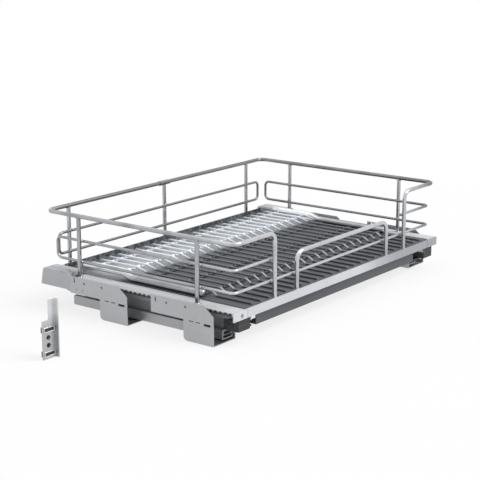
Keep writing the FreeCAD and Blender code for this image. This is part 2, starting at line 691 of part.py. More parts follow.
def make_frame_screws():
    screws = []
    for side in SIDES:
        place = frame_screw_place(side)
        head = cylinder(f"screw_head_{side}", "y", "frame_screw_head", place, "0", "frame_screw_sink")
        shank = cylinder(f"screw_shank_{side}", "y", "frame_screw", place, "frame_screw_sink / 2",
                         "frame_screw_length")
        screw = doc.addObject("Part::Fuse", f"frame_screw_{side}")
        screw.Base = head
        screw.Tool = shank
        screws.append(screw)
    return keep("frame_screws", group("frame_screws", screws))


def make_stiffener():
    body = new_body("front_stiffener")
    span = (f"-({TRAY_INSIDE} - stiffener_inset)", f"{TRAY_INSIDE} - stiffener_inset")
    high = f"({TOP} - bar_height)"
    low = f"({high} - stiffener_height)"
    face = "(stiffener_setback + tray_sheet)"
    back = "(stiffener_setback + stiffener_depth)"
    slab(body, span, ("stiffener_setback", face), (low, high))
    slab(body, span, (face, back), (f"{high} - tray_sheet", high))
    slab(body, span, (face, back), (low, f"{low} + tray_sheet"))
    return keep("front_stiffener", body)


def make_back_bar():
    body = new_body("back_bar")
    inside = (f"-{TRAY_INSIDE}", TRAY_INSIDE)
    slab(body, inside, ("tray_depth - back_lip", "tray_depth"), (UNDER_FLANGE, TOP))
    slab(body, inside, ("tray_depth - tray_sheet", "tray_depth"), (f"{TOP} - back_height", UNDER_FLANGE))
    return keep("back_bar", body)


# Front clips that lock the tray to the drawer rails, with their levers and pins
def lever_pin(side):
    return at(side, RUNNER_MIDDLE), "lever_setback"


def make_clip(side):
    body = new_body(f"front_clip_{side}")
    span = across(side, f"{RUNNER_MIDDLE} - clip_width / 2", f"{RUNNER_MIDDLE} + clip_width / 2")
    low = f"({DRAWER_LOW} - clip_height)"
    slab(body, span, ("tray_sheet", "tray_sheet + clip_length"), (low, DRAWER_LOW))
    slab(body, span, ("tray_sheet", "drawer_rail_front - lever_gap"), (DRAWER_LOW, UNDER_FLANGE))
    socket = cylinder(f"pin_socket_{side}", "z", "pin_dia", lever_pin(side), low, f"{low} + pin_depth")
    bore = cylinder(f"screw_bore_{side}", "y", "frame_screw + 2 * rivet_gap", frame_screw_place(side),
                    "tray_sheet", "frame_screw_length + frame_screw_sink")
    return keep(f"front_clip_{side}", cut(f"front_clip_drilled_{side}", body, [socket, bore]))


def make_lever(side):
    """A flat lever that hangs on its pin under the clip and reaches in under the tray."""
    body = new_body(f"release_lever_{side}")
    x, y = lever_pin(side)
    high = f"({DRAWER_LOW} - clip_height - lever_gap)"
    slab(body, across(side, f"{RUNNER_MIDDLE} - lever_length", f"{RUNNER_MIDDLE} + lever_width / 2"),
         (f"{y} - lever_width / 2", f"{y} + lever_width / 2"), (f"{high} - lever_sheet", high))
    cut_hole(body, "XY_Plane", x, y, "pin_dia + 2 * lever_gap", high)
    return keep(f"release_lever_{side}", body)


def make_pin(side):
    low = f"({DRAWER_LOW} - clip_height)"
    foot = f"({low} - 2 * lever_gap - lever_sheet)"
    shank = cylinder(f"pin_shank_{side}", "z", "pin_dia", lever_pin(side), foot, f"{low} + pin_depth")
    head = cylinder(f"pin_head_{side}", "z", "2 * pin_dia", lever_pin(side), f"{foot} - pin_dia / 2", foot)
    pin = doc.addObject("Part::Fuse", f"lever_pin_{side}")
    pin.Base = shank
    pin.Tool = head
    return keep(f"lever_pin_{side}", pin)


# Floor: a dark panel, stepped wires over cross rods, and a thick tube along each side
LOW_WIRE = f"({PANEL_TOP} + weld_gap + floor_wire / 2)"
MIDDLE_WIRE = f"({LOW_WIRE} + cross_rod + weld_gap)"
HIGH_WIRE = f"({MIDDLE_WIRE} + back_rise)"
TUBE_LEVEL = f"({PANEL_TOP} + weld_gap + side_tube / 2)"
SIDE_TUBE = f"({PANEL_HALF} - side_tube_inset)"
CROSS_ROD_END = f"({SIDE_TUBE} - side_tube / 2 - weld_gap)"
OUTER_WIRE = f"({SIDE_TUBE} - side_tube / 2 - floor_wire_margin)"
UPSTAND = f"({PANEL_BACK} - panel_sheet)"
WIRE_BACK = f"({UPSTAND} - floor_wire_tail)"


def make_floor_panel():
    """A flat sheet, notched round the four rods that stand on the front bar."""
    body = new_body("floor_panel")
    span = (f"-{PANEL_HALF}", PANEL_HALF)
    slab(body, span, (PANEL_FRONT, PANEL_BACK), (TOP, PANEL_TOP))
    slab(body, span, (UPSTAND, PANEL_BACK), (PANEL_TOP, f"{TOP} + panel_upstand"))
    room = "(rod_dia / 2 + panel_notch_gap)"
    for foot in ("return_half", "guard_half"):
        for side in SIDES:
            x = at(side, foot)
            cut_window(body, "XY_Plane", (f"{x} - {room}", f"{x} + {room}"),
                       (f"{PANEL_FRONT} - panel_notch_gap", f"rail_setback + {room}"), TOP)
    return keep("floor_panel", body)


def make_floor_wires():
    """One stepped wire, repeated across the tray."""
    stations = [
        (f"{PANEL_FRONT} + floor_wire_gap", LOW_WIRE),
        ("front_step", LOW_WIRE),
        ("front_step + front_run", MIDDLE_WIRE),
        ("back_step", MIDDLE_WIRE),
        ("back_step + back_run", HIGH_WIRE),
        (WIRE_BACK, HIGH_WIRE),
        (WIRE_BACK, f"{PANEL_TOP} + weld_gap"),
    ]
    count = int(number("floor_wire_count"))
    points = [(f"-{OUTER_WIRE}", y, z) for y, z in stations]
    wire = bent_rod("floor_wire", "floor_wire", points, ["floor_wire_bend"] * len(points))
    pitch = number(f"2 * {OUTER_WIRE} / (floor_wire_count - 1)")
    wires = doc.addObject("Part::Feature", "floor_wires")
    wires.Shape = Part.makeCompound([wire.Shape.translated(FreeCAD.Vector(pitch * i, 0, 0))
                                     for i in range(count)])
    return keep("floor_wires", wires)


def make_cross_rods():
    """Rods under the raised levels, from one side tube to the other."""
    middle_level = f"{MIDDLE_WIRE} - (floor_wire + cross_rod) / 2 - weld_gap"
    high_level = f"{HIGH_WIRE} - (floor_wire + cross_rod) / 2 - weld_gap"
    lead = "(front_step + front_run + cross_rod_inset)"
    tail = "(back_step - cross_rod_inset)"
    stations = [
        (lead, middle_level),
        (f"({lead} + {tail}) / 2", middle_level),
        (tail, middle_level),
        ("back_step + back_run + cross_rod_inset", high_level),
        (f"{WIRE_BACK} - cross_rod_inset", high_level),
    ]
    rods = []
    for y, z in stations:
        rods.append(cylinder("cross_rod", "x", "cross_rod", (y, z), f"-{CROSS_ROD_END}", CROSS_ROD_END))
    return keep("cross_rods", group("cross_rods", rods))


def make_side_tube(side):
    """A thick rod beside the wires that steps up with the back row."""
    stations = [
        ("front_step + front_run + cross_rod_inset - side_tube_lead", TUBE_LEVEL),
        ("back_step", TUBE_LEVEL),
        ("back_step + back_run", f"{TUBE_LEVEL} + back_rise"),
        (WIRE_BACK, f"{TUBE_LEVEL} + back_rise"),
    ]
    points = [(at(side, SIDE_TUBE), y, z) for y, z in stations]
    tube = bent_rod(f"side_tube_{side}", "side_tube", points, ["side_tube"] * len(points))
    return keep(f"floor_side_tube_{side}", tube)


# Basket: bent rods on coped posts
RAIL_LEVEL = f"({TOP} + rail_height)"
UPPER_LEVEL = f"({TOP} + upper_wire)"
LOWER_LEVEL = f"({TOP} + lower_wire)"
LOOP_HALF = f"({RAIL_SIDE} - loop_inset)"
SIDE_POSTS = {
    "front": "(rail_setback + front_post_run)",
    "rear": "(flange_length - rear_post_inset)",
}


def make_top_rail():
    """One rod: up from the front bar, round the basket and down again."""
    points = [
        ("-return_half", "rail_setback", TOP),
        ("-return_half", "rail_setback", RAIL_LEVEL),
        (f"-{RAIL_SIDE}", "rail_setback", RAIL_LEVEL),
        (f"-{RAIL_SIDE}", RAIL_BACK, RAIL_LEVEL),
        (RAIL_SIDE, RAIL_BACK, RAIL_LEVEL),
        (RAIL_SIDE, "rail_setback", RAIL_LEVEL),
        ("return_half", "rail_setback", RAIL_LEVEL),
        ("return_half", "rail_setback", TOP),
    ]
    return keep("top_rail", bent_rod("top_rail", "rod_dia", points, ["rail_corner"] * len(points)))


def make_side_wire():
    """One wire in two levels, inside the posts: both sides and the lower front."""
    side = f"({RAIL_SIDE} - {WELD_STEP})"
    front = f"(rail_setback + {WELD_STEP})"
    back = f"({RAIL_BACK} - side_wire_gap)"
    end = "(return_half - wire_overrun)"
    half = [
        (end, front, UPPER_LEVEL),
        (side, front, UPPER_LEVEL),
        (side, back, UPPER_LEVEL),
        (side, back, LOWER_LEVEL),
        (side, front, LOWER_LEVEL),
    ]
    points = [(f"-{x}", y, z) for x, y, z in half] + list(reversed(half))
    return keep("side_wire", bent_rod("side_wire", "wire_dia", points, ["loop_bend"] * len(points)))


def make_back_loop():
    back = f"({RAIL_BACK} - {WELD_STEP})"
    points = [
        (LOOP_HALF, back, LOWER_LEVEL),
        (LOOP_HALF, back, UPPER_LEVEL),
        (f"-{LOOP_HALF}", back, UPPER_LEVEL),
        (f"-{LOOP_HALF}", back, LOWER_LEVEL),
    ]
    loop = bent_rod("back_wire_loop", "wire_dia", points, ["loop_bend"] * len(points), closed=True)
    return keep("back_wire_loop", loop)


def make_guard():
    high = f"({TOP} + guard_height)"
    points = [
        ("-guard_half", "rail_setback", TOP),
        ("-guard_half", "rail_setback", high),
        ("guard_half", "rail_setback", high),
        ("guard_half", "rail_setback", TOP),
    ]
    return keep("front_guard", bent_rod("front_guard", "rod_dia", points, ["guard_bend"] * len(points)))


def make_post(label, x, y, rail_axis):
    """An upright from the frame to the top rail, its head coped to the rail."""
    post = cylinder(f"{label}_bar", "z", "rod_dia", (x, y), TOP, RAIL_LEVEL)
    if rail_axis == "x":
        cope = cylinder(f"{label}_cope", "x", "rod_dia + 2 * weld_gap", (y, RAIL_LEVEL),
                        f"{x} - 2 * rod_dia", f"{x} + 2 * rod_dia")
    else:
        cope = cylinder(f"{label}_cope", "y", "rod_dia + 2 * weld_gap", (x, RAIL_LEVEL),
                        f"{y} - 2 * rod_dia", f"{y} + 2 * rod_dia")
    return keep(label, cut(f"{label}_coped", post, [cope]))


def make_posts():
    for side in SIDES:
        make_post(f"back_post_{side}", at(side, f"{TRAY_INSIDE} - back_post_inset"), RAIL_BACK, "x")
        for place in ("front", "rear"):
            make_post(f"side_post_{side}_{place}", at(side, RAIL_SIDE), SIDE_POSTS[place], "y")
    make_post("back_post_middle", "0", RAIL_BACK, "x")


# Loose bracket for the front panel, standing beside the rack
def make_loose_bracket():
    body = new_body("front_panel_bracket")
    right = f"(-({WALL}) - loose_gap)"
    left = f"({right} - loose_width)"
    back = "(loose_run + loose_sheet)"
    shoulder = f"({BOX_FLOOR} + loose_body_height)"
    high = f"({shoulder} + loose_tongue_height)"
    pad(body, "XZ_Plane", [
        (left, BOX_FLOOR),
        (right, BOX_FLOOR),
        (right, high),
        (f"{right} - loose_tongue_width", high),
        (f"{right} - loose_tongue_width", shoulder),
        (left, shoulder),
    ], "loose_run", back)
    slab(body, (f"{right} - loose_sheet", right), ("loose_run - loose_flange", "loose_run"), (BOX_FLOOR, high))
    edge = f"({left} + loose_slot_inset)"
    for slot in ("loose_low_slot", "loose_high_slot"):
        level = f"({BOX_FLOOR} + {slot})"
        cut_window(body, "XZ_Plane", (edge, f"{edge} + loose_slot_length"),
                   (f"{level} - loose_slot_height / 2", f"{level} + loose_slot_height / 2"), "loose_run")
    for step in ("0", "loose_hole_spacing"):
        cut_hole(body, "XZ_Plane", f"{edge} + loose_slot_length / 2 - loose_sheet",
                 f"{BOX_FLOOR} + loose_low_hole + {step}", "loose_hole", "loose_run")
    return keep("front_panel_bracket", body)


def make_runner(side):
    make_rivets(side)
    make_cabinet_rail(side)
    make_middle_rail(side)
    make_drawer_rail(side)
    for level in ("lower", "upper"):
        make_cage(side, level)
        make_rollers(side, level)


def make_all():
    brackets = {}
    for side in SIDES:
        for place in ("front", "rear"):
            brackets[side, place] = make_bracket(side, place)
            make_shim(side, place)
    drill_rear_brackets(brackets)
    for side in SIDES:
        make_runner(side)
        make_housing(side)
        make_housing_rivets(side)
        make_buffer(side)
        make_side_rail(side)
        make_clip(side)
        make_lever(side)
        make_pin(side)
        make_side_tube(side)
    make_front_bar()
    make_frame_screws()
    make_stiffener()
    make_back_bar()
    make_floor_panel()
    make_floor_wires()
    make_cross_rods()
    make_top_rail()
    make_side_wire()
    make_back_loop()
    make_guard()
    make_posts()
    make_loose_bracket()


def check_all():
    for thing in doc.Objects:
        if "Invalid" in thing.State or "Error" in thing.State:
            raise RuntimeError(f"{thing.Name}: {thing.State}")
    for label, thing in NODES.items():
        if thing.Shape.isNull() or not thing.Shape.isValid() or not thing.Shape.Solids:
            raise RuntimeError(f"{label}: no valid solid")


make_all()
doc.recompute()
check_all()
os.makedirs("parts", exist_ok=True)
for label, thing in NODES.items():
    thing.Shape.exportStep(f"parts/{label}.step")
print(len(NODES), "nodes,", sum(len(thing.Shape.Solids) for thing in NODES.values()), "solids")
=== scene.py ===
# %% [markdown]
# A pull-out pot rack, dressed in Blender. The solids of the rack come in as a fixed frame, in
# metres, with the origin on the front bar's face, +X to the right, +Y to the back of the cabinet
# and +Z up. They could be modelled again here, but then two shapes would have to be kept equal. So
# the frame stays as it is, and this lesson adds what a drawing leaves out: rounded edges, welds,
# screw heads and finishes.

# %% Load the frame
import json
import math

import bmesh
import bpy
from mathutils import Matrix, Vector


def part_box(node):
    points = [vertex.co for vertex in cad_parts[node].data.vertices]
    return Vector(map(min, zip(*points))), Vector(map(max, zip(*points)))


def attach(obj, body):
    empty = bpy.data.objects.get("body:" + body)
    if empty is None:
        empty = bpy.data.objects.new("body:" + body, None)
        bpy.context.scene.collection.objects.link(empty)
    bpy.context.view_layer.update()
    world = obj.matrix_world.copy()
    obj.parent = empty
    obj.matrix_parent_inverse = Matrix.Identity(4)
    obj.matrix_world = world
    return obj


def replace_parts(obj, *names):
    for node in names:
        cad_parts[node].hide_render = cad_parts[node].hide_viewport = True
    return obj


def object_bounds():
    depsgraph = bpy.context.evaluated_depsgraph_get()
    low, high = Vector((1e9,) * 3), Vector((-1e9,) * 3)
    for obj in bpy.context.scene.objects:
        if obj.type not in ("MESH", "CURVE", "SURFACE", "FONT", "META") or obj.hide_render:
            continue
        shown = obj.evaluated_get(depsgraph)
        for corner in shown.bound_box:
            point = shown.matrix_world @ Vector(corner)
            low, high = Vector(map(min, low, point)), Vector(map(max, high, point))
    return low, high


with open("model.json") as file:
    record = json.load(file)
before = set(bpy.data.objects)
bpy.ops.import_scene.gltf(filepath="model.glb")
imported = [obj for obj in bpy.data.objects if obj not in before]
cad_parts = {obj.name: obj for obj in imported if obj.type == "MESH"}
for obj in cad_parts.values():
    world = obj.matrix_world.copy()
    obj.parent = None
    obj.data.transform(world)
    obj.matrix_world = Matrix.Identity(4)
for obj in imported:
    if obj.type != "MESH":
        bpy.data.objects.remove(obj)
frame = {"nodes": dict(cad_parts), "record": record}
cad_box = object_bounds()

nodes = frame["nodes"]
subparts = frame["record"]["subparts"]
scene = bpy.context.scene


def rounded(box):
    """A box as short numbers, for printing."""
    return [[round(number, 4) for number in corner] for corner in box]


print(len(nodes), "solids, box", rounded(cad_box))

# %% [markdown]
# The camera stands in front of the left corner, a little above the rack, and looks slightly down.
# It could be aimed at a target, but plain numbers for place, heading and dip are easier to correct
# one at a time. A long lens keeps the parallel rods nearly parallel.

# %% Camera
CAMERA_PLACE = Vector((-1.8925, -1.2147, 0.6188))
CAMERA_HEADING = -52.56
CAMERA_DIP = 13.88
LEVEL_TILT = 90
CAMERA_LENS = 99.25
CAMERA_SENSOR = 36

camera = bpy.data.objects.new("camera", bpy.data.cameras.new("camera"))
camera.data.lens = CAMERA_LENS
camera.data.sensor_width = CAMERA_SENSOR
camera.location = CAMERA_PLACE
camera.rotation_euler = (math.radians(LEVEL_TILT - CAMERA_DIP), 0, math.radians(CAMERA_HEADING))
scene.collection.objects.link(camera)
scene.camera = camera
print("camera distance", round(CAMERA_PLACE.length, 3))

# %% [markdown]
# Light, floor and finishes are graphs of nodes. Each node and each link could be written out, but
# then the same few lines would fill half of this lesson. So one helper feeds a node's inputs, with
# the output of another node or with a plain value, and two more make the nodes that are needed most
# often.

# %% Helpers for nodes
def feed(tree, node, inputs):
    """Link or set a node's inputs, and give the node back."""
    for label, value in inputs.items():
        if isinstance(value, bpy.types.NodeSocket):
            tree.links.new(value, node.inputs[label])
        else:
            node.inputs[label].default_value = value
    return node


def maths(tree, operation, first, second):
    """The result of one operation on two values."""
    node = tree.nodes.new("ShaderNodeMath")
    node.operation = operation
    return feed(tree, node, {0: first, 1: second}).outputs[0]


def ranged(tree, inputs, smooth=False):
    """A value moved from one range to another."""
    node = tree.nodes.new("ShaderNodeMapRange")
    if smooth:
        node.interpolation_type = "SMOOTHSTEP"
    return feed(tree, node, inputs).outputs["Result"]


# %% [markdown]
# The rack stands on a plain white floor in a white studio. A floor with a curved back wall would do
# too, but seen from above it shows its fold, so the floor is one wide sheet and the sky is white as
# well. Rays from the camera, and rays that bounce off metal or pass through, see a white sky of
# strength 1. All other rays see a softer sky, so the light on the rack stays at a plain level.

# %% White studio
SKY_WHITE = (1, 1, 1, 1)
SKY_LIGHT = 0.46

scene.view_settings.view_transform = "Standard"
scene.world = bpy.data.worlds.new("studio")
scene.world.use_nodes = True
sky = scene.world.node_tree
ray = sky.nodes.new("ShaderNodeLightPath").outputs
seen = maths(sky, "MAXIMUM", ray["Is Camera Ray"], ray["Is Glossy Ray"])
seen = maths(sky, "MAXIMUM", seen, ray["Is Transmission Ray"])
strength = ranged(sky, {"Value": seen, "To Min": SKY_LIGHT, "To Max": 1})
feed(sky, sky.nodes["Background"], {"Color": SKY_WHITE, "Strength": strength})
print("sky light", SKY_LIGHT)

# %% [markdown]
# The floor is white paper that takes a soft shadow under the rack. Plain paper would come out grey,
# because it is lit from one side only, and a glowing sheet would lose the shadow. So both are
# mixed: near the rack the paper shows with some glow for the camera, and further out the glow takes
# over and joins the sky.

# %% Floor
FLOOR_SIZE = 30
FLOOR_DROP = 0.0002
FLOOR_LIFT = 0.80
FLOOR_NEAR = 0.5
FLOOR_FAR = 1.3
PAPER_COLOUR = (0.95, 0.95, 0.955, 1)
PAPER_ROUGH = 0.9
PAPER_SPECULAR = 0.1

floor_level = cad_box[0].z - FLOOR_DROP
sheet = bmesh.new()
bmesh.ops.create_grid(sheet, x_segments=1, y_segments=1, size=FLOOR_SIZE)
bmesh.ops.translate(sheet, verts=sheet.verts, vec=(0, 0, floor_level))
floor = bpy.data.objects.new("floor", bpy.data.meshes.new("floor"))
sheet.to_mesh(floor.data)
sheet.free()
scene.collection.objects.link(floor)

floor_white = bpy.data.materials.new("floor_white")
floor_white.use_nodes = True
tree = floor_white.node_tree
paper = feed(tree, tree.nodes["Principled BSDF"], {
    "Base Color": PAPER_COLOUR, "Roughness": PAPER_ROUGH, "Specular IOR Level": PAPER_SPECULAR})
reach = tree.nodes.new("ShaderNodeVectorMath")
reach.operation = "LENGTH"
feed(tree, reach, {0: tree.nodes.new("ShaderNodeTexCoord").outputs["Object"]})
far = ranged(tree, {"Value": reach.outputs["Value"], "From Min": FLOOR_NEAR, "From Max": FLOOR_FAR},
             smooth=True)
ray = tree.nodes.new("ShaderNodeLightPath").outputs
looked_at = maths(tree, "MAXIMUM", ray["Is Camera Ray"], ray["Is Glossy Ray"])
whiter = maths(tree, "MAXIMUM", far, maths(tree, "MULTIPLY", looked_at, FLOOR_LIFT))
glow = tree.nodes.new("ShaderNodeEmission")
either = feed(tree, tree.nodes.new("ShaderNodeMixShader"), {
    "Fac": whiter, 1: paper.outputs["BSDF"], 2: glow.outputs["Emission"]})
feed(tree, tree.nodes["Material Output"], {"Surface": either.outputs["Shader"]})
floor.data.materials.append(floor_white)
print("floor at", round(floor_level, 4))

# %% [markdown]
# Two wide lamps stand for the soft boxes of a studio: the main one in front on the right, a weak
# one overhead. Area lamps would do, but they light near pieces more than far ones. A Sun with a
# large angle lights every side evenly, and the angle alone sets how soft the shadow's edge is.

# %% Lamps
LAMPS = {
    "key_front_right": {"from": (0.35, -0.60, 0.72), "level": 0.62, "spread": 42},
    "fill_top": {"from": (-0.15, 0.25, 0.95), "level": 0.12, "spread": 60},
}

for lamp_name, lamp in LAMPS.items():
    light = bpy.data.lights.new(lamp_name, "SUN")
    light.energy = lamp["level"] * math.pi
    light.angle = math.radians(lamp["spread"])
    holder = bpy.data.objects.new(lamp_name, light)
    holder.rotation_euler = (-Vector(lamp["from"])).to_track_quat("-Z", "Y").to_euler()
    scene.collection.objects.link(holder)
print(len(LAMPS), "lamps")

# %% [markdown]
# Finishes are shader nodes, not pictures, so they stay sharp from every side. Several finishes
# share the same faults: hands leave dull patches, drawing and rolling leave fine lines, paint dries
# with a slight ripple and zinc grows in flat crystals. Each fault could be built again inside every
# material. It is built once as a node group instead, and each material sets its own scale on the
# group's inputs.

# %% Hand marks
VECTOR = "NodeSocketVector"
NUMBER = "NodeSocketFloat"
CLOUD_DETAIL = 5
CLOUD_BEND = 0.7


def new_group(name, inputs, output):
    """A node group with named inputs and one output."""
    group = bpy.data.node_groups.new(name, "ShaderNodeTree")
    for label, kind, value in inputs:
        socket = group.interface.new_socket(name=label, in_out="INPUT", socket_type=kind)
        socket.default_value = value
    group.interface.new_socket(name=output, in_out="OUTPUT", socket_type=NUMBER)
    return group, group.nodes.new("NodeGroupInput").outputs, group.nodes.new("NodeGroupOutput")


hand_marks, given, result = new_group("hand_marks", [
    ("Place", VECTOR, (0, 0, 0)), ("Scale", NUMBER, 20),
    ("Start", NUMBER, 0.42), ("End", NUMBER, 0.68)], "Mask")
cloud = feed(hand_marks, hand_marks.nodes.new("ShaderNodeTexNoise"), {
    "Vector": given["Place"], "Scale": given["Scale"],
    "Detail": CLOUD_DETAIL, "Distortion": CLOUD_BEND})
patches = ranged(hand_marks, {"Value": cloud.outputs["Fac"], "From Min": given["Start"],
                              "From Max": given["End"]}, smooth=True)
feed(hand_marks, result, {"Mask": patches})
print("shared effect", hand_marks.name)

# %% [markdown]
# Drawn wire has lines along its length, rolled sheet along the strip, paint a fine ripple and
# plating small pits. These could be four groups, but they differ only in stretch and scale: one
# noise, squeezed along one axis by a vector, makes lines, and left alone it makes ripple or pits.

# %% Fine lines, ripple and pits
LINE_DETAIL = 3

fine_lines, given, result = new_group("fine_lines", [
    ("Place", VECTOR, (0, 0, 0)), ("Stretch", VECTOR, (1, 1, 1)), ("Scale", NUMBER, 300)], "Height")
pulled = fine_lines.nodes.new("ShaderNodeVectorMath")
pulled.operation = "MULTIPLY"
feed(fine_lines, pulled, {0: given["Place"], 1: given["Stretch"]})
line_noise = feed(fine_lines, fine_lines.nodes.new("ShaderNodeTexNoise"), {
    "Vector": pulled.outputs["Vector"], "Scale": given["Scale"], "Detail": LINE_DETAIL})
feed(fine_lines, result, {"Height": line_noise.outputs["Fac"]})
print("shared effect", fine_lines.name)

# %% [markdown]
# Zinc sets on steel in flat crystals, and each one turns the light a little differently. A noise
# has no borders, so it can't show them. Voronoi cells have one colour each, and the red part of
# that colour is the crystal's tone.

# %% Zinc crystals
zinc_crystals, given, result = new_group("zinc_crystals", [
    ("Place", VECTOR, (0, 0, 0)), ("Scale", NUMBER, 260)], "Tone")
crystal = feed(zinc_crystals, zinc_crystals.nodes.new("ShaderNodeTexVoronoi"), {
    "Vector": given["Place"], "Scale": given["Scale"]})
facet = feed(zinc_crystals, zinc_crystals.nodes.new("ShaderNodeSeparateColor"), {
    "Color": crystal.outputs["Color"]})
feed(zinc_crystals, result, {"Tone": facet.outputs["Red"]})
print("shared effect", zinc_crystals.name)

# %% [markdown]
# A finish starts from one Principled shader. Small helpers lay a group on it, blend two colours by
# a mask, make masks along an axis and turn a height into a bump. They could be written out in each
# material, but then a reader would have to compare many long lists to see what really differs
# between chrome, zinc, paint and plastic.

# %% Helpers for finishes
MIX_LOW = 6
MIX_HIGH = 7
MIX_RESULT = 2

finishes = {}


class Finish:
    """A material for a slot, built up from masks, tones and shared effects."""

    def __init__(self, slot, metallic, specular=0.5):
        finishes[slot] = bpy.data.materials.new(slot)
        finishes[slot].use_nodes = True
        self.tree = finishes[slot].node_tree
        self.shader = self.tree.nodes["Principled BSDF"]
        feed(self.tree, self.shader, {"Metallic": metallic, "Specular IOR Level": specular})
        self.place = self.tree.nodes.new("ShaderNodeTexCoord").outputs["Object"]
        print("finish", slot)

    def lay(self, group, **values):
        """Place a shared effect with its own values."""
        node = self.tree.nodes.new("ShaderNodeGroup")
        node.node_tree = group
        return feed(self.tree, node, {"Place": self.place, **values}).outputs[0]

    def blend(self, mask, low, high, how="MIX"):
        """Mix two tones, plain or from nodes, by a mask."""
        node = self.tree.nodes.new("ShaderNodeMix")
        node.data_type = "RGBA"
        node.blend_type = how
        low, high = ((*tone, 1) if isinstance(tone, tuple) else tone for tone in (low, high))
        mixed = feed(self.tree, node, {"Factor": mask, MIX_LOW: low, MIX_HIGH: high})
        return mixed.outputs[MIX_RESULT]

    def along(self, axis, run, low, high):
        """A value that changes over a run along an axis."""
        split = feed(self.tree, self.tree.nodes.new("ShaderNodeSeparateXYZ"), {0: self.place})
        start, end = run
        return ranged(self.tree, {"Value": split.outputs[axis], "From Min": start, "From Max": end,
                                  "To Min": low, "To Max": high})

    def rise(self, axis, run):
        """A mask that goes from 0 to 1 along an axis."""
        return self.along(axis, run, 0, 1)

    def fall(self, axis, run):
        """A mask that goes from 1 to 0 along an axis."""
        return self.along(axis, run, 1, 0)

    def overlap(self, first, *others):
        """A mask that is set only where all the masks are."""
        for other in others:
            first = maths(self.tree, "MULTIPLY", first, other)
        return first

    def colour(self, tone):
        """Let a node set the base colour."""
        feed(self.tree, self.shader, {"Base Color": tone})

    def fade(self, mask, far_tone):
        """Blend the present base colour into another tone."""
        near_tone = self.shader.inputs["Base Color"].links[0].from_socket
        self.colour(self.blend(mask, near_tone, far_tone))

    def roughness(self, mask, low, high):
        """Let a mask set the roughness between two values."""
        feed(self.tree, self.shader, {
            "Roughness": ranged(self.tree, {"Value": mask, "To Min": low, "To Max": high})})

    def bump(self, height, deep):
        """Turn a height into a bump of the given depth."""
        node = self.tree.nodes.new("ShaderNodeBump")
        feed(self.tree, node, {"Height": height, "Distance": deep})
        feed(self.tree, self.shader, {"Normal": node.outputs["Normal"]})


# %% [markdown]
# The rods are bent steel with bright plating. Plating is smooth, so it gets no lines, only shallow
# pits and the dull patches where it is held. Light and reflection are painted into the plating's
# colour: the rods at the back carry a dark painted reflection, the front rods up to the right
# corner a lighter painted highlight, and the left side a painted tone of its own, lighter than the
# right. Three materials would show a seam in a bent rod, so masks along the rack blend these
# painted tones of the same metal. The upright posts are painted lighter than the bent rods, a
# painted highlight, so the finish is made twice.

# %% Chrome rods
# Painted light in the plating's colour: a highlight at the front and a tone of its own on the left.
ROD_FRONT_HIGHLIGHT = (0.58, 0.59, 0.61)
ROD_LEFT_PAINTED_TONE = (0.40, 0.405, 0.42)
ROD_DULL = (0.75, 0.75, 0.75)
ROD_ROUGH = (0.16, 0.34)
FRONT_HIGHLIGHT_RUN = (0.02, 0.09)
CORNER_HIGHLIGHT_RUN = (0.215, 0.290)
LEFT_PAINTED_RUN = (-0.310, -0.285)
LINE_DEEP = 0.00004


def plated_rod(slot, tone):
    """Bright plating with the given tone at the back, and painted light at the front and on the
    left.
    """
    rods = Finish(slot, metallic=1)
    held = rods.lay(hand_marks, Scale=16)
    # Painted light: the left side's tone, then the front highlight up to the right corner.
    painted_side_tone = rods.blend(rods.rise("X", LEFT_PAINTED_RUN), ROD_LEFT_PAINTED_TONE, tone)
    front_highlight_mask = rods.overlap(rods.fall("Y", FRONT_HIGHLIGHT_RUN), rods.fall("X", CORNER_HIGHLIGHT_RUN))
    plating = rods.blend(front_highlight_mask, painted_side_tone, ROD_FRONT_HIGHLIGHT)
    rods.colour(rods.blend(held, plating, ROD_DULL, how="MULTIPLY"))
    rods.roughness(held, *ROD_ROUGH)
    rods.bump(rods.lay(fine_lines, Scale=700), LINE_DEEP)


# The back tones hold painted light too: a dark painted reflection on the rods, a lighter painted
# highlight on the posts.
plated_rod("chrome_rod", tone=(0.245, 0.25, 0.26))
plated_rod("post_chrome", tone=(0.52, 0.525, 0.54))

# %% [markdown]
# The floor wires are the same steel, drawn thinner. In the low front field they lie dark over the
# panel, at the two rows of steps and in the raised back field they catch the light. This light and
# shade is painted into the wires' colour. A material for each field would need the wires cut apart.
# So a colour ramp along the depth paints the fields' light and shade, with the sudden changes where
# the wires bend.

# %% Floor wires
RACK_DEPTH = 0.43
# Painted light and shade of the wires, as tones along the depth.
FIELD_PAINTED_LIGHT = (
    (0.000, 0.17), (0.076, 0.17), (0.079, 0.44), (0.087, 0.44), (0.091, 0.19), (0.246, 0.19),
    (0.252, 0.60), (0.268, 0.90), (0.330, 0.91), (0.360, 0.48),
)
NEW_STOP = 0.5
WIRE_TINT = (1, 1.04, 1.09)
WIRE_ROUGH = (0.52, 0.66)
WIRE_LINE_DEEP = 0.00003

wires = Finish("floor_steel", metallic=0.5)
# The ramp paints the light and shade of each field into the wires' colour.
ramp = feed(wires.tree, wires.tree.nodes.new("ShaderNodeValToRGB"), {
    "Fac": wires.rise("Y", (0, RACK_DEPTH))})
stops = ramp.color_ramp.elements
while len(stops) < len(FIELD_PAINTED_LIGHT):
    stops.new(NEW_STOP)
for stop, (field_start, value) in zip(stops, FIELD_PAINTED_LIGHT):
    stop.position = field_start / RACK_DEPTH
    stop.color = (*(value * part for part in WIRE_TINT), 1)
wires.colour(ramp.outputs["Color"])
wires.roughness(wires.lay(hand_marks, Scale=30), *WIRE_ROUGH)
wires.bump(wires.lay(fine_lines, Stretch=(1, 0.03, 1), Scale=1500), WIRE_LINE_DEEP)

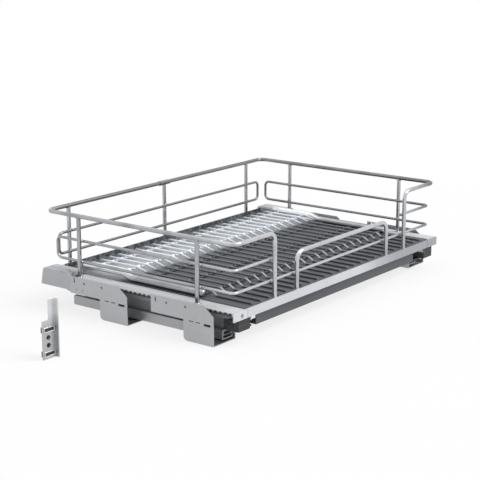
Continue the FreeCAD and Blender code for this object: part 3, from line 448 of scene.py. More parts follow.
# %% [markdown]
# A thicker tube closes the floor on each side and rises with it at the back. It could share the
# rods' finish, but it is drawn and not polished: it keeps fine lines along its length. Its raised
# end carries a painted highlight: a mask along the depth blends the tube's tone into a bright one
# over the length of the bend.

# %% Side tubes
TUBE_TONE = (0.40, 0.405, 0.42)
TUBE_DULL = (0.33, 0.335, 0.35)
TUBE_HIGHLIGHT = (0.86, 0.87, 0.89)
TUBE_ROUGH = (0.22, 0.38)
RAISED_HIGHLIGHT_RUN = (0.235, 0.275)

tubes = Finish("side_tube_steel", metallic=1)
tube_marks = tubes.lay(hand_marks, Scale=18)
tubes.colour(tubes.blend(tube_marks, TUBE_TONE, TUBE_DULL))
# Painted highlight on the raised end of the tube.
tubes.fade(tubes.rise("Y", RAISED_HIGHLIGHT_RUN), TUBE_HIGHLIGHT)
tubes.roughness(tube_marks, *TUBE_ROUGH)
tubes.bump(tubes.lay(fine_lines, Stretch=(1, 0.04, 1), Scale=900), LINE_DEEP)

# %% [markdown]
# Brackets and runners are zinc-plated sheet. Zinc shows flat crystals of slightly different grey
# and, on rolled stock, lines along the strip. A noise alone would look like dirt, so the crystals
# come from Voronoi cells, each with one tone, and the lines are a stretched noise that only drives
# the bump.

# %% Zinc sheet
ZINC_DULLING = 0.14


def zinc_sheet(slot, dark, light, stretch, rough):
    """Zinc between two tones, with lines along the strip."""
    zinc = Finish(slot, metallic=0.75)
    zinc.colour(zinc.blend(zinc.lay(zinc_crystals, Scale=420), dark, light))
    zinc.roughness(zinc.lay(hand_marks, Scale=22), rough, rough + ZINC_DULLING)
    zinc.bump(zinc.lay(fine_lines, Stretch=stretch, Scale=900), LINE_DEEP)
    return zinc


zinc_sheet("zinc_bracket", dark=(0.435, 0.445, 0.46), light=(0.47, 0.48, 0.495),
           stretch=(1, 0.06, 1), rough=0.38)
zinc_sheet("runner_steel", dark=(0.40, 0.405, 0.42), light=(0.43, 0.435, 0.45),
           stretch=(1, 0.02, 1), rough=0.36)
zinc_sheet("rivet_steel", dark=(0.38, 0.385, 0.40), light=(0.46, 0.465, 0.48),
           stretch=(1, 1, 1), rough=0.38)
zinc_sheet("roller_steel", dark=(0.60, 0.60, 0.61), light=(0.68, 0.68, 0.69),
           stretch=(0.05, 1, 1), rough=0.22)

# %% [markdown]
# The loose bracket is the same sheet, but its narrow tongue is brighter. A second material on the
# upper faces would end in a hard line, so a mask that runs with the height fades the zinc into a
# brighter one over about two centimetres.

# %% Loose bracket
TONGUE_BRIGHT = (0.70, 0.71, 0.73)
TONGUE_RUN = (0.000, 0.022)

loose_zinc = zinc_sheet("loose_zinc", dark=(0.44, 0.45, 0.46), light=(0.48, 0.49, 0.50),
                        stretch=(1, 1, 0.06), rough=0.34)
loose_zinc.fade(loose_zinc.rise("Z", TONGUE_RUN), TONGUE_BRIGHT)

# %% [markdown]
# The tray's frame and the rear housings are painted in silver grey, the floor panel, the stiffener
# and the hidden members of the runners in dark grey. Sprayed paint dries with a ripple like an
# orange's peel. It is too small to model, so it is a bump, and hand marks change the gloss more
# than the colour.

# %% Sprayed paint
PAINT_DULLING = 0.15
RIPPLE_DEEP = 0.00005


def sprayed_paint(slot, colour, worn, rough, ripple):
    """Paint with a fine ripple and hand marks."""
    paint = Finish(slot, metallic=0, specular=0.4)
    marks = paint.lay(hand_marks, Scale=14, Start=0.45, End=0.75)
    paint.colour(paint.blend(marks, colour, worn))
    paint.roughness(marks, rough, rough + PAINT_DULLING)
    paint.bump(paint.lay(fine_lines, Scale=ripple), RIPPLE_DEEP)
    return paint


tray_paint = sprayed_paint("tray_paint", colour=(0.66, 0.67, 0.695), worn=(0.61, 0.62, 0.64),
                           rough=0.36, ripple=900)
front_paint = sprayed_paint("front_paint", colour=(0.62, 0.63, 0.665), worn=(0.58, 0.59, 0.62),
                            rough=0.33, ripple=900)
sprayed_paint("rail_paint", colour=(0.31, 0.317, 0.332), worn=(0.34, 0.347, 0.36),
              rough=0.40, ripple=1100)
sprayed_paint("grey_housing", colour=(0.52, 0.53, 0.55), worn=(0.47, 0.48, 0.50),
              rough=0.42, ripple=700)
sprayed_paint("dark_paint", colour=(0.084, 0.088, 0.096), worn=(0.104, 0.108, 0.117),
              rough=0.42, ripple=1100)

# %% [markdown]
# The front bar is one long painted strip. To the right, where fewer bright surfaces lie around it,
# it takes less light, and that shade is painted into its silver grey. A second paint would show a
# seam, so a mask along the length of the bar blends its own tone into a painted shade, very slowly.
# The tabs beside the bar belong to the side rails, so the same painted shade follows on them with
# the same mask, but only on the thin front skin.

# %% Front bar
FRONT_PAINTED_SHADE = (0.335, 0.345, 0.375)
FRONT_SHADE_RUN = (0.04, 0.17)
SKIN_RUN = (0.0020, 0.0032)

# Painted shade, deepening to the right on the bar and on the tabs' front skin.
front_paint.fade(front_paint.rise("X", FRONT_SHADE_RUN), FRONT_PAINTED_SHADE)
tab_shade_mask = tray_paint.overlap(tray_paint.rise("X", FRONT_SHADE_RUN), tray_paint.fall("Y", SKIN_RUN))
tray_paint.fade(tab_shade_mask, FRONT_PAINTED_SHADE)

# %% [markdown]
# The floor panel is dark too, but under the raised wires at the back it mirrors their light and
# looks pale. A lamp there would light the wires again, so this reflection is painted: masks along
# the depth lift the panel's tone to a painted reflection, with soft ends, and leave the strip
# behind the wires dark. One more mask runs with the height of the sheet, so that the panel stays
# dark underneath.

# %% Floor panel
PANEL_PAINTED_REFLECTION = (0.46, 0.47, 0.485)
REFLECTION_FROM = (0.262, 0.285)
REFLECTION_TO = (0.352, 0.364)
UPPER_SIDE_LEVEL = (0.0088, 0.0096)

panel_paint = sprayed_paint("panel_paint", colour=(0.088, 0.096, 0.107), worn=(0.102, 0.110, 0.122),
                            rough=0.55, ripple=1100)
upper_side = panel_paint.rise("Z", UPPER_SIDE_LEVEL)
# Painted reflection under the raised wires, on the upper side only.
painted_reflection = panel_paint.overlap(panel_paint.rise("Y", REFLECTION_FROM), panel_paint.fall("Y", REFLECTION_TO),
                           upper_side)
panel_paint.fade(painted_reflection, PANEL_PAINTED_REFLECTION)

# %% [markdown]
# The strip behind the raised wires, at the turned-up edge of the panel, lies in shade between the
# wires' bent ends. This is painted: first the strip is darkened as a whole with a painted shade,
# and then the hand marks' cloud, at a much finer scale, lays lighter specks on it that break up the
# painted shade. The specks have no depth, so they are not modelled.

# %% Painted shade on the strip at the back
BACK_SHADE_RUN = (0.386, 0.398)
BACK_PAINTED_SHADE = (0.050, 0.055, 0.062)
SHADE_SPECK_TONE = (0.18, 0.19, 0.205)

# Painted shade on the strip behind the wires, broken up by lighter specks.
back_shade_mask = panel_paint.overlap(panel_paint.rise("Y", BACK_SHADE_RUN), upper_side)
panel_paint.fade(back_shade_mask, BACK_PAINTED_SHADE)
speck_mask = panel_paint.lay(hand_marks, Scale=120, Start=0.44, End=0.58)
panel_paint.fade(panel_paint.overlap(back_shade_mask, speck_mask), SHADE_SPECK_TONE)

# %% [markdown]
# Clips, levers and shims are moulded plastic, the buffers are rubber. A mould is etched with a fine
# even texture that takes the shine off, and rubber is duller still. The texture could be modelled,
# but it is finer than the paint's ripple, so both use the same noise as the paint, at a smaller
# scale, deeper and with a rougher shader.

# %% Moulded plastic and rubber
TEXTURE_DULLING = 0.2


def moulding(slot, colour, worn, rough, texture, deep):
    """Plastic or rubber with an etched texture."""
    plastic = Finish(slot, metallic=0, specular=0.35)
    height = plastic.lay(fine_lines, Scale=texture)
    plastic.colour(plastic.blend(plastic.lay(hand_marks, Scale=40), colour, worn))
    plastic.roughness(height, rough, rough + TEXTURE_DULLING)
    plastic.bump(height, deep)


moulding("dark_plastic", colour=(0.035, 0.036, 0.040), worn=(0.055, 0.056, 0.06),
         rough=0.45, texture=2600, deep=0.00006)
moulding("white_plastic", colour=(0.72, 0.72, 0.70), worn=(0.66, 0.66, 0.64),
         rough=0.40, texture=2600, deep=0.00005)
moulding("black_rubber", colour=(0.020, 0.020, 0.021), worn=(0.035, 0.035, 0.036),
         rough=0.65, texture=1800, deep=0.00009)

# %% [markdown]
# Every solid of the frame names a slot, and each slot now has its finish. A few solids look
# different from the others in their slot: the panel, the loose bracket, the side tubes, the
# runners' inner members and the posts. They could have slots of their own, but a slot says what a
# piece is made of, so only the finish differs.

# %% Give every solid its finish
SIDES = {"left": -1, "right": 1}
OWN_FINISH = {"floor_panel": "panel_paint", "front_panel_bracket": "loose_zinc"}

for side in SIDES:
    OWN_FINISH[f"floor_side_tube_{side}"] = "side_tube_steel"
    OWN_FINISH[f"drawer_rail_{side}"] = "rail_paint"
    OWN_FINISH[f"middle_rail_{side}"] = "rail_paint"
posts = sorted(name for name in nodes if "_post_" in name)
for post in posts:
    OWN_FINISH[post] = "post_chrome"

for row in subparts:
    mesh = nodes[row["node"]].data
    mesh.materials.clear()
    mesh.materials.append(finishes[OWN_FINISH.get(row["node"], row["material_slot"])])
print(len(finishes), "finishes on", len(nodes), "solids")

# %% [markdown]
# No real sheet has a knife edge: shears and presses leave a small round that shows as a thin bright
# line. The solids' meshes stay as they are, so the rounds are modifiers. A Weld joins the loose
# triangles, a Decimate takes out the lines inside flat faces, which would catch the bevel, and a
# Bevel rounds only the sharp edges, more at the ends of wires than on sheet. Weighted normals then
# keep the flat faces flat.

# %% Rounded edges
JOIN_REACH = 0.00001
EDGE_ANGLE = math.radians(40)
EDGE_SEGMENTS = 2
FLAT_ANGLE = math.radians(0.5)
FLAT_WEIGHT = 100
SHEET_ROUND = 0.0004
WIRE_ROUND = 0.0009
WIRE_SLOTS = ("chrome_rod", "floor_steel")


def round_edges(item, width):
    """Round the sharp edges with a Bevel modifier."""
    edge = item.modifiers.new("edge", "BEVEL")
    edge.limit_method = "ANGLE"
    edge.angle_limit = EDGE_ANGLE
    edge.width = width
    edge.segments = EDGE_SEGMENTS


for row in subparts:
    solid = nodes[row["node"]]
    solid.modifiers.new("join", "WELD").merge_threshold = JOIN_REACH
    clean = solid.modifiers.new("clean", "DECIMATE")
    clean.decimate_type = "DISSOLVE"
    clean.angle_limit = FLAT_ANGLE
    round_edges(solid, WIRE_ROUND if row["material_slot"] in WIRE_SLOTS else SHEET_ROUND)
    solid.modifiers.new("flat", "WEIGHTED_NORMAL").weight = FLAT_WEIGHT
print("rounded edges on", len(subparts), "solids")

# %% [markdown]
# The small pieces come next: welds, plugs, screws, guide strips, dark rings, lids, wheels and
# ridges.
# Each one starts as an empty bmesh, is shaped with operators and ends as an object at the origin.
# The ending could be written out each time, but one helper is safer: it merges doubles, turns the
# faces outwards, keeps sharp edges sharp, gives the piece its finish and ties it to the body that
# carries it.

# %% Helper that makes a piece
MERGE_REACH = 0.000005
SHARP_ANGLE = math.radians(35)


def make_piece(name, shape, body, slot, finish=None, rounding=0):
    """Turn a bmesh into a finished piece that rides on a body."""
    bmesh.ops.remove_doubles(shape, verts=shape.verts, dist=MERGE_REACH)
    bmesh.ops.recalc_face_normals(shape, faces=shape.faces)
    mesh = bpy.data.meshes.new(name)
    shape.to_mesh(mesh)
    shape.free()
    mesh.shade_smooth()
    mesh.set_sharp_from_angle(angle=SHARP_ANGLE)
    mesh.materials.append(finishes[finish or slot])
    piece = bpy.data.objects.new(name, mesh)
    scene.collection.objects.link(piece)
    if rounding:
        round_edges(piece, rounding)
    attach(piece, body)
    print(name, len(mesh.polygons), "faces on", body)
    return piece


# %% [markdown]
# Every upright rod is welded to the frame, and the melted metal leaves a collar round its foot. A
# torus would stand off the sheet, so the collar is a small hollow-sided outline that is spun round
# the rod's axis. The four rods that stand in the panel's notches get a thinner collar that fits
# inside the notch.

# %% Weld collars at the rods' feet
ROD_RADIUS = 0.00375
ROD_FRONT = 0.006
RETURN_X = 0.205
GUARD_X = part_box("front_guard")[1].x - ROD_RADIUS
FRAME_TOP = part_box("side_rail_left")[1].z
COLLAR_REACH = 0.0019
COLLAR_HEIGHT = 0.0018
COLLAR_SINK = 0.0004
COLLAR_WAIST = 0.45
COLLAR_WAIST_RISE = 0.35
COLLAR_NECK = 0.12
NOTCH_REACH = 0.0005
SPIN_STEPS = 28


def spin_outline(shape, outline, centre, axis):
    """Turn an outline once round an axis."""
    corners = [shape.verts.new(spot) for spot in outline]
    edges = [shape.edges.new(pair) for pair in zip(corners, corners[1:])]
    bmesh.ops.spin(shape, geom=corners + edges, cent=centre, axis=axis, angle=math.tau,
                   steps=SPIN_STEPS, use_merge=True)


def weld_collar(shape, foot, reach):
    """A hollow-sided collar round the foot of a rod."""
    inner = ROD_RADIUS - COLLAR_SINK
    outline = [(inner, 0), (ROD_RADIUS + reach, 0),
               (ROD_RADIUS + COLLAR_WAIST * reach, COLLAR_WAIST_RISE * COLLAR_HEIGHT),
               (ROD_RADIUS + COLLAR_NECK * reach, COLLAR_HEIGHT),
               (inner, COLLAR_HEIGHT), (inner, 0)]
    spin_outline(shape, [foot + Vector((run, 0, rise)) for run, rise in outline], foot, (0, 0, 1))


def middle(node):
    """The middle of a solid's box."""
    low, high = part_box(node)
    return (low + high) / 2


collars = bmesh.new()
for post in posts:
    weld_collar(collars, Vector((middle(post).x, middle(post).y, FRAME_TOP)), COLLAR_REACH)
for x in (-RETURN_X, -GUARD_X, GUARD_X, RETURN_X):
    weld_collar(collars, Vector((x, ROD_FRONT, FRAME_TOP)), NOTCH_REACH)
make_piece("foot_welds", collars, "tray", "chrome_rod")

# %% [markdown]
# Where a wire crosses a rod, the two are pressed together and welded in one spot, and a flat bead
# squeezes out between them. The bead could be cut from both rods, but it is hidden except for its
# rim, so a flattened ball set in the joint is enough. Longer beads lie where the posts meet the top
# rail.

# %% Weld beads at the crossings
WIRE_RADIUS = 0.0025
WIRE_LEVELS = (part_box("side_wire")[0].z + WIRE_RADIUS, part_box("side_wire")[1].z - WIRE_RADIUS)
RAIL_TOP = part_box("top_rail")[1].z
WELD_GAP = 0.0001
JOINT_STEP = ROD_RADIUS + WELD_GAP
BEAD_LONG = 0.0043
BEAD_HIGH = 0.0037
BEAD_FLAT = 0.0016
HEAD_BEAD = 0.0052


def weld_bead(shape, spot, reach):
    """A ball flattened to the given half sizes."""
    place = Matrix.Translation(spot) @ Matrix.Diagonal((*reach, 1))
    bmesh.ops.create_icosphere(shape, subdivisions=2, radius=1, matrix=place)


beads = bmesh.new()
for post in posts:
    foot = middle(post)
    if post.startswith("side"):
        inward = Vector((-math.copysign(JOINT_STEP, foot.x), 0, 0))
        joint_bead = (BEAD_FLAT, BEAD_LONG, BEAD_HIGH)
        head_bead = (ROD_RADIUS, HEAD_BEAD, BEAD_FLAT)
    else:
        inward = Vector((0, -JOINT_STEP, 0))
        joint_bead = (BEAD_LONG, BEAD_FLAT, BEAD_HIGH)
        head_bead = (HEAD_BEAD, ROD_RADIUS, BEAD_FLAT)
    for level in WIRE_LEVELS:
        weld_bead(beads, Vector((foot.x, foot.y, level)) + inward, joint_bead)
    weld_bead(beads, Vector((foot.x, foot.y, RAIL_TOP - 2 * ROD_RADIUS)), head_bead)
front_joints = [(RETURN_X, level) for level in WIRE_LEVELS] + [(GUARD_X, WIRE_LEVELS[0])]
for x, level in front_joints:
    for outward in SIDES.values():
        joint = Vector((outward * x, ROD_FRONT + JOINT_STEP, level))
        weld_bead(beads, joint, (BEAD_LONG, BEAD_FLAT, BEAD_HIGH))
make_piece("crossing_welds", beads, "tray", "chrome_rod")

# %% [markdown]
# The top rail is bent from one length of rod. Its two ends meet behind the middle back post, in a
# short sleeve. The sleeve is an outline with chamfered ends, spun round the rod, and a plane then
# cuts off the crown, because the sleeve is pressed flat level with the rod so that nothing catches
# on it.

# %% Sleeve on the top rail
SLEEVE_HALF = 0.015
SLEEVE_GRIP = 0.0005
SLEEVE_THICK = 0.0012
SLEEVE_BORE = ROD_RADIUS - SLEEVE_GRIP
SLEEVE_RADIUS = ROD_RADIUS + SLEEVE_THICK
SLEEVE_CHAMFER = 0.0008
CROWN_DROP = 0.0001


def only(kind, parts):
    """The points, edges or faces among mixed parts."""
    return [part for part in parts if isinstance(part, kind)]


half_outline = [(SLEEVE_HALF - SLEEVE_CHAMFER, SLEEVE_RADIUS),
                (SLEEVE_HALF, SLEEVE_RADIUS - SLEEVE_CHAMFER), (SLEEVE_HALF, SLEEVE_BORE)]
other_half = [(-run, rise) for run, rise in reversed(half_outline)]
sleeve_outline = other_half + half_outline + other_half[:1]

sleeve = bmesh.new()
seat = Vector((0, middle("back_post_middle").y, RAIL_TOP - ROD_RADIUS))
sleeve_ring = [seat + Vector((run, 0, rise)) for run, rise in sleeve_outline]
spin_outline(sleeve, sleeve_ring, seat, (1, 0, 0))
bmesh.ops.remove_doubles(sleeve, verts=sleeve.verts, dist=MERGE_REACH)
cut = bmesh.ops.bisect_plane(
    sleeve, geom=sleeve.verts[:] + sleeve.edges[:] + sleeve.faces[:], dist=MERGE_REACH,
    plane_co=seat + Vector((0, 0, ROD_RADIUS - CROWN_DROP)), plane_no=(0, 0, 1), clear_outer=True)
bmesh.ops.holes_fill(sleeve, edges=only(bmesh.types.BMEdge, cut["geom_cut"]))
make_piece("rail_sleeve", sleeve, "tray", "chrome_rod")

# %% [markdown]
# The thick side tubes are cut off square, so their ends are closed with domed plugs. A half sphere
# would look like a ball on a stick; a real plug has a short rim and then a flatter dome. That
# outline is spun round the tube's axis, once at the front end and once at the raised back end.

# %% Plugs in the side tubes
TUBE_RADIUS = 0.006
PLUG_OUTLINE = ((0, 0), (1.04, 0), (1.04, 0.0007), (0.97, 0.0014), (0.80, 0.0024), (0.45, 0.0033),
                (0, 0.0036))

plugs = bmesh.new()
for side in SIDES:
    low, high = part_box(f"floor_side_tube_{side}")
    ends = ((low.y, low.z + TUBE_RADIUS, -1), (high.y, high.z - TUBE_RADIUS, 1))
    for end_y, end_z, outward in ends:
        centre = Vector(((low.x + high.x) / 2, end_y, end_z))
        dome = [centre + Vector((size * TUBE_RADIUS, outward * run, 0))
                for size, run in PLUG_OUTLINE]
        spin_outline(plugs, dome, centre, (0, 1, 0))
make_piece("tube_plugs", plugs, "tray", "floor_steel", finish="side_tube_steel")

# %% [markdown]
# Screw heads and wheels grow from loops of edges. A loop could be filled and its face extruded, but
# the faces inside would have to be deleted again. So one helper closes points to a loop, and
# another one extrudes the edges alone, moves them and scales them round their middle.

# %% Helpers for loops
def loop_of(shape, spots):
    """A closed loop of edges through points."""
    corners = [shape.verts.new(spot) for spot in spots]
    return [shape.edges.new(pair) for pair in zip(corners, corners[1:] + corners[:1])]


def pull_loop(shape, edges, move, size):
    """Extrude a loop, move it and scale it round its middle."""
    grown = bmesh.ops.extrude_edge_only(shape, edges=edges)["geom"]
    points = only(bmesh.types.BMVert, grown)
    centre = sum((point.co for point in points), Vector()) / len(points)
    bmesh.ops.scale(shape, verts=points, vec=(size, size, size), space=Matrix.Translation(-centre))
    bmesh.ops.translate(shape, verts=points, vec=move)
    return [edge for edge in only(bmesh.types.BMEdge, grown)
            if all(end in points for end in edge.verts)]


# %% [markdown]
# Two countersunk screws hold the front tabs. A plain disc would do from far away, but the cross
# recess is what makes it a screw. The head's rim and the cross are two loops of edges in one plane;
# bridging them makes the face between, and each loop is then extruded: the cross inwards, the rim
# back to the shank.

# %% Cross screws in the front tabs
HEAD_RADIUS = 0.0037
HEAD_DEPTH = 0.0012
HEAD_STEPS = 24
SHANK_RADIUS = 0.002
SHANK_END = 0.012
CROSS_ARMS = 4
CROSS_LONG = 0.0021
CROSS_WIDE = 0.00055
CROSS_DEPTH = 0.0011
CROSS_TAPER = 0.7
FACE_SET = 0.0001


def cross_screw(shape, centre):
    """A screw along +Y with its head's face at the centre; gives back its points."""
    before = set(shape.verts)
    around = [math.tau * step / HEAD_STEPS for step in range(HEAD_STEPS)]
    circle = [HEAD_RADIUS * Vector((math.cos(angle), 0, math.sin(angle))) for angle in around]
    rim = loop_of(shape, [centre + spot for spot in circle])
    arm = [(CROSS_LONG, -CROSS_WIDE), (CROSS_LONG, CROSS_WIDE), (CROSS_WIDE, CROSS_WIDE)]
    corners = []
    for step in range(CROSS_ARMS):
        turn = Matrix.Rotation(-step * math.tau / CROSS_ARMS, 3, "Y")
        corners += [centre + turn @ Vector((x, 0, z)) for x, z in arm]
    cross = loop_of(shape, corners)
    bmesh.ops.bridge_loops(shape, edges=rim + cross)
    recess = pull_loop(shape, cross, (0, CROSS_DEPTH, 0), CROSS_TAPER)
    bmesh.ops.contextual_create(shape, geom=recess)
    cone = pull_loop(shape, rim, (0, HEAD_DEPTH, 0), SHANK_RADIUS / HEAD_RADIUS)
    tip = pull_loop(shape, cone, (0, SHANK_END - HEAD_DEPTH, 0), 1)
    bmesh.ops.contextual_create(shape, geom=tip)
    return [point for point in shape.verts if point not in before]


screws = bmesh.new()
low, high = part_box("frame_screws")
for x in (low.x + HEAD_RADIUS, high.x - HEAD_RADIUS):
    cross_screw(screws, Vector((x, FACE_SET, (low.z + high.z) / 2)))
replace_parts(make_piece("frame_cross_screws", screws, "tray", "rivet_steel"), "frame_screws")

# %% [markdown]
# A comb-shaped strip of dark plastic is clipped along the lip of each side flange and keeps the
# tray from rattling against the brackets. It could be set together from single teeth, but a grid is
# quicker: a sheet of two rows of cells loses every second cell of its upper row and is then
# extruded to thickness.

# %% Guide strips along the flanges
STRIP_START = 0.004
STRIP_CELL = 0.005
STRIP_CELLS = 68
STRIP_ROWS = 2
STRIP_LOW = 0.0036
STRIP_HIGH = 0.0080
STRIP_THICK = 0.0012
FINE_ROUND = 0.0003


def sheet_face(shape, centre, across, up, cells=(1, 1)):
    """A flat grid round a centre; across and up are half its edges."""
    normal = across.cross(up).normalized()
    place = Matrix((across, up, normal)).transposed().to_4x4()
    place.translation = centre
    columns, rows = cells
    grid = bmesh.ops.create_grid(shape, x_segments=columns, y_segments=rows, size=1, matrix=place)
    return list({face for point in grid["verts"] for face in point.link_faces})


def thicken(shape, faces, move):
    """Extrude a sheet of faces to a solid."""
    grown = bmesh.ops.extrude_face_region(shape, geom=faces)["geom"]
    bmesh.ops.translate(shape, verts=only(bmesh.types.BMVert, grown), vec=move)


strips = bmesh.new()
strip_half = STRIP_CELL * STRIP_CELLS / 2
strip_level = (STRIP_LOW + STRIP_HIGH) / 2
for outward in SIDES.values():
    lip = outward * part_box("side_rail_right")[1].x
    centre = Vector((lip, STRIP_START + strip_half, strip_level))
    up = Vector((0, 0, (STRIP_HIGH - STRIP_LOW) / 2))
    cells = sheet_face(strips, centre, Vector((0, strip_half, 0)), up, (STRIP_CELLS, STRIP_ROWS))
    gaps = [cell for cell in cells if cell.calc_center_median().z > strip_level
            and int((cell.calc_center_median().y - STRIP_START) / STRIP_CELL) % 2]
    bmesh.ops.delete(strips, geom=gaps, context="FACES")
    teeth = [cell for cell in cells if cell.is_valid]
    thicken(strips, teeth, (outward * STRIP_THICK, 0, 0))
make_piece("guide_strips", strips, "tray", "dark_plastic", rounding=FINE_ROUND)

# %% [markdown]
# The loose bracket hooks into the tray with two slots. On the real one the press turns a rim up
# round each slot. A rim could be swept along the slot's edge, but it is simpler as one face: an
# inset makes the opening, the ring that is left is extruded and a Bevel rounds it.

# %% Slot rims of the loose bracket
BRACKET_SHEET = 0.002
SLOT_LEVELS = (0.008, 0.047)
SLOT_EDGE = 0.004
SLOT_HALF_LONG = 0.010
SLOT_HALF_HIGH = 0.00275
RIM_WIDE = 0.0016
RIM_PROUD = 0.0010
RIM_ROUND = 0.0004


def slot_half(wider):
    """Half the edges of a slot, made wider on all sides."""
    return Vector((SLOT_HALF_LONG + wider, 0, 0)), Vector((0, 0, SLOT_HALF_HIGH + wider))


bracket_low, bracket_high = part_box("front_panel_bracket")
plate_front = bracket_high.y - BRACKET_SHEET
slot_x = bracket_low.x + SLOT_EDGE + SLOT_HALF_LONG
rims = bmesh.new()
for level in SLOT_LEVELS:
    centre = Vector((slot_x, plate_front, bracket_low.z + level))
    opening = sheet_face(rims, centre, *slot_half(RIM_WIDE))
    ring = bmesh.ops.inset_region(rims, faces=opening, thickness=RIM_WIDE, use_boundary=True,
                                  use_even_offset=True)["faces"]
    bmesh.ops.delete(rims, geom=opening, context="FACES_ONLY")
    thicken(rims, ring, (0, -RIM_PROUD, 0))
# The rims take the brighter roller finish: a painted highlight on the turned-up edges.
make_piece("slot_rims", rims, "cabinet_side", "zinc_bracket", finish="roller_steel",
           rounding=RIM_ROUND)

# %% [markdown]
# Dark plastic sits behind the bracket's slots, a block at each slot and a web between them, so that
# the slots show dark: a dark piece as painted shade. Each block could be plain, but then the slot
# would look empty: two faces are bridged to a block, and an inset on its front pulls out a nose
# that enters the slot. The web is one more extruded face.

# %% Dark blocks behind the slots, as painted shade
BLOCK_WIDE = 0.0018
BLOCK_DEEP = 0.0045
NOSE_DEEP = 0.0012
NOSE_GAP = 0.0004
WEB_HALF = 0.0065
WEB_DEEP = 0.003

# Dark blocks as painted shade behind the slots.
shade_blocks = bmesh.new()
for level in SLOT_LEVELS:
    centre = Vector((slot_x, bracket_high.y, bracket_low.z + level))
    block_front = sheet_face(shade_blocks, centre, *slot_half(BLOCK_WIDE))
    block_back = sheet_face(shade_blocks, centre + Vector((0, BLOCK_DEEP, 0)), *slot_half(BLOCK_WIDE))
    both_rims = [edge for face in block_front + block_back for edge in face.edges]
    bmesh.ops.bridge_loops(shade_blocks, edges=both_rims)
    bmesh.ops.inset_region(shade_blocks, faces=block_front, thickness=BLOCK_WIDE + NOSE_GAP,
                           use_even_offset=True)
    bmesh.ops.translate(shade_blocks, verts=list(block_front[0].verts), vec=(0, -NOSE_DEEP, 0))
web_middle = Vector((slot_x, bracket_high.y, bracket_low.z + sum(SLOT_LEVELS) / 2))
web_half = Vector((WEB_HALF, 0, 0)), Vector((0, 0, (SLOT_LEVELS[1] - SLOT_LEVELS[0]) / 2))
thicken(shade_blocks, sheet_face(shade_blocks, web_middle, *web_half), (0, WEB_DEEP, 0))
make_piece("slot_shade_blocks", shade_blocks, "cabinet_side", "dark_plastic", rounding=FINE_ROUND)

# %% [markdown]
# Between the slots, two black rubber rings sit round the screw holes, so that the holes show dark:
# dark pieces as painted shade. A ring could be a flattened torus, but its foot has to lie flat on
# the sheet. So it is a small rounded outline spun round the hole's axis, which leaves the hole
# itself open.

# %% Dark rings round the holes, as painted shade
HOLE_X = 0.012
HOLE_LEVELS = (0.022, 0.0345)
SHADE_RING_OUTLINE = ((0.0024, 0), (0.0037, 0), (0.0037, 0.0005), (0.0034, 0.0009), (0.0027, 0.0009),
                  (0.0024, 0.0005), (0.0024, 0))

# Dark rings as painted shade round the holes.
shade_rings = bmesh.new()
for level in HOLE_LEVELS:
    centre = Vector((bracket_low.x + HOLE_X, plate_front, bracket_low.z + level))
    ring_outline = [centre + Vector((run, -proud, 0)) for run, proud in SHADE_RING_OUTLINE]
    spin_outline(shade_rings, ring_outline, centre, (0, 1, 0))
make_piece("hole_shade_rings", shade_rings, "cabinet_side", "black_rubber")

# %% [markdown]
# Each rear housing is closed with a thin pressed lid. Only its edge and its two screws show. The
# lid is one face extruded upwards with rounded edges. Its screws could be modelled anew, but they
# are the cross screws of the front tabs, only smaller: each one is built at the origin, and a
# matrix turns it upright, scales it and sets it on the lid.

# %% Lids and screws of the rear housings
LID_INSET = 0.003
LID_HIGH = 0.0008
LID_LONG = 0.0565
LID_SCREWS = (0.0075, 0.0475)
LID_SCREW_SIZE = 0.85
LID_SCREW_PROUD = 0.0002
UPRIGHT = Matrix.Rotation(-math.pi / 2, 4, "X")

lids = bmesh.new()
lid_screws = bmesh.new()
for side in SIDES:
    low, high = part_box(f"rear_housing_{side}")
    lid_half = Vector(((high.x - low.x) / 2 - LID_INSET, 0, 0)), Vector((0, LID_LONG / 2, 0))
    lid_middle = Vector(((low.x + high.x) / 2, high.y - LID_INSET - LID_LONG / 2, high.z))
    thicken(lids, sheet_face(lids, lid_middle, *lid_half), (0, 0, LID_HIGH))
    screw_level = high.z + LID_HIGH + LID_SCREW_PROUD
    for step in LID_SCREWS:
        spot = Vector((lid_middle.x, high.y - LID_INSET - step, screw_level))
        place = Matrix.Translation(spot) @ UPRIGHT @ Matrix.Scale(LID_SCREW_SIZE, 4)
        bmesh.ops.transform(lid_screws, matrix=place, verts=cross_screw(lid_screws, Vector()))
make_piece("housing_lids", lids, "cabinet_side", "grey_housing", rounding=FINE_ROUND)
make_piece("lid_screws", lid_screws, "cabinet_side", "rivet_steel")

# %% [markdown]
# Each front clip has a toothed wheel on its outer side that sets the height of the front. A loop of
# points on two radii gives the teeth, and the same loop is pulled out, in and down again to make
# the wheel's face with its recess. Spinning could not make teeth, because a spin is the same all
# the way round.

# %% Adjusting wheels on the front clips
WHEEL_RADIUS = 0.0068
WHEEL_TEETH = 22
TOOTH_POINTS = 4
TOOTH_FOOT = 0.88
WHEEL_SINK = 0.0004
WHEEL_PLACE = (0.0175, -0.0125)
WHEEL_PULLS = ((0.0026, 1), (0.0004, 0.93), (0, 0.62), (-0.0012, 0.94))

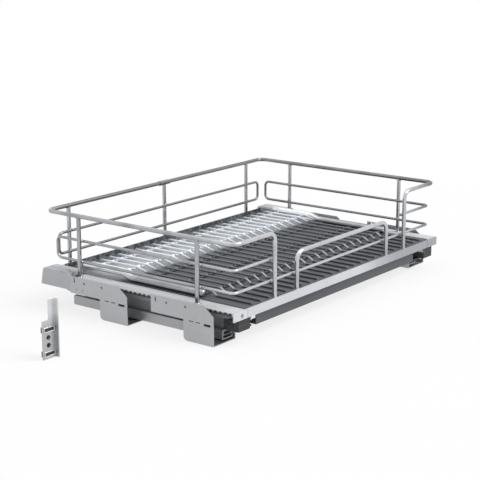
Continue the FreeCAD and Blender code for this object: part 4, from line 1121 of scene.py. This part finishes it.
wheels = bmesh.new()
for side, outward in SIDES.items():
    clip_low, clip_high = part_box(f"front_clip_{side}")
    outer_face = clip_low.x if side == "left" else clip_high.x
    centre = Vector((outer_face - outward * WHEEL_SINK, *WHEEL_PLACE))
    spots = []
    for step in range(TOOTH_POINTS * WHEEL_TEETH):
        angle = math.tau * step / (TOOTH_POINTS * WHEEL_TEETH)
        radius = WHEEL_RADIUS * (1 if step % TOOTH_POINTS < TOOTH_POINTS / 2 else TOOTH_FOOT)
        spots.append(centre + radius * Vector((0, math.cos(angle), math.sin(angle))))
    wheel_back = loop_of(wheels, spots)
    rim = wheel_back
    for proud, size in WHEEL_PULLS:
        rim = pull_loop(wheels, rim, (outward * proud, 0, 0), size)
    bmesh.ops.contextual_create(wheels, geom=rim)
    bmesh.ops.contextual_create(wheels, geom=wheel_back)
make_piece("height_wheels", wheels, "tray", "dark_plastic")

# %% [markdown]
# A finger finds the release levers from below by the ridges near their tips. They could be a bump
# in the finish, but their outline shows against the light, so they are rods that lie half sunk in
# the lever. They ride on the lever, not on the tray, so that they turn with it.

# %% Finger ridges on the levers
RIDGE_RADIUS = 0.0009
RIDGE_SEGMENTS = 14
RIDGE_STEP = 0.0032
RIDGE_COUNT = 5
RIDGE_INSET = 0.0022
RIDGE_SHORTER = 0.0016
LYING = Matrix.Rotation(math.pi / 2, 4, "X")

for side, outward in SIDES.items():
    low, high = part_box(f"release_lever_{side}")
    tip = high.x - RIDGE_INSET if side == "left" else low.x + RIDGE_INSET
    ridges = bmesh.new()
    for step in range(RIDGE_COUNT):
        spot = Vector((tip + outward * step * RIDGE_STEP, (low.y + high.y) / 2, low.z))
        bmesh.ops.create_cone(ridges, cap_ends=True, segments=RIDGE_SEGMENTS, radius1=RIDGE_RADIUS,
                              radius2=RIDGE_RADIUS, depth=high.y - low.y - RIDGE_SHORTER,
                              matrix=Matrix.Translation(spot) @ LYING)
    make_piece(f"lever_ridges_{side}", ridges, f"lever_{side}", "dark_plastic", rounding=FINE_ROUND)
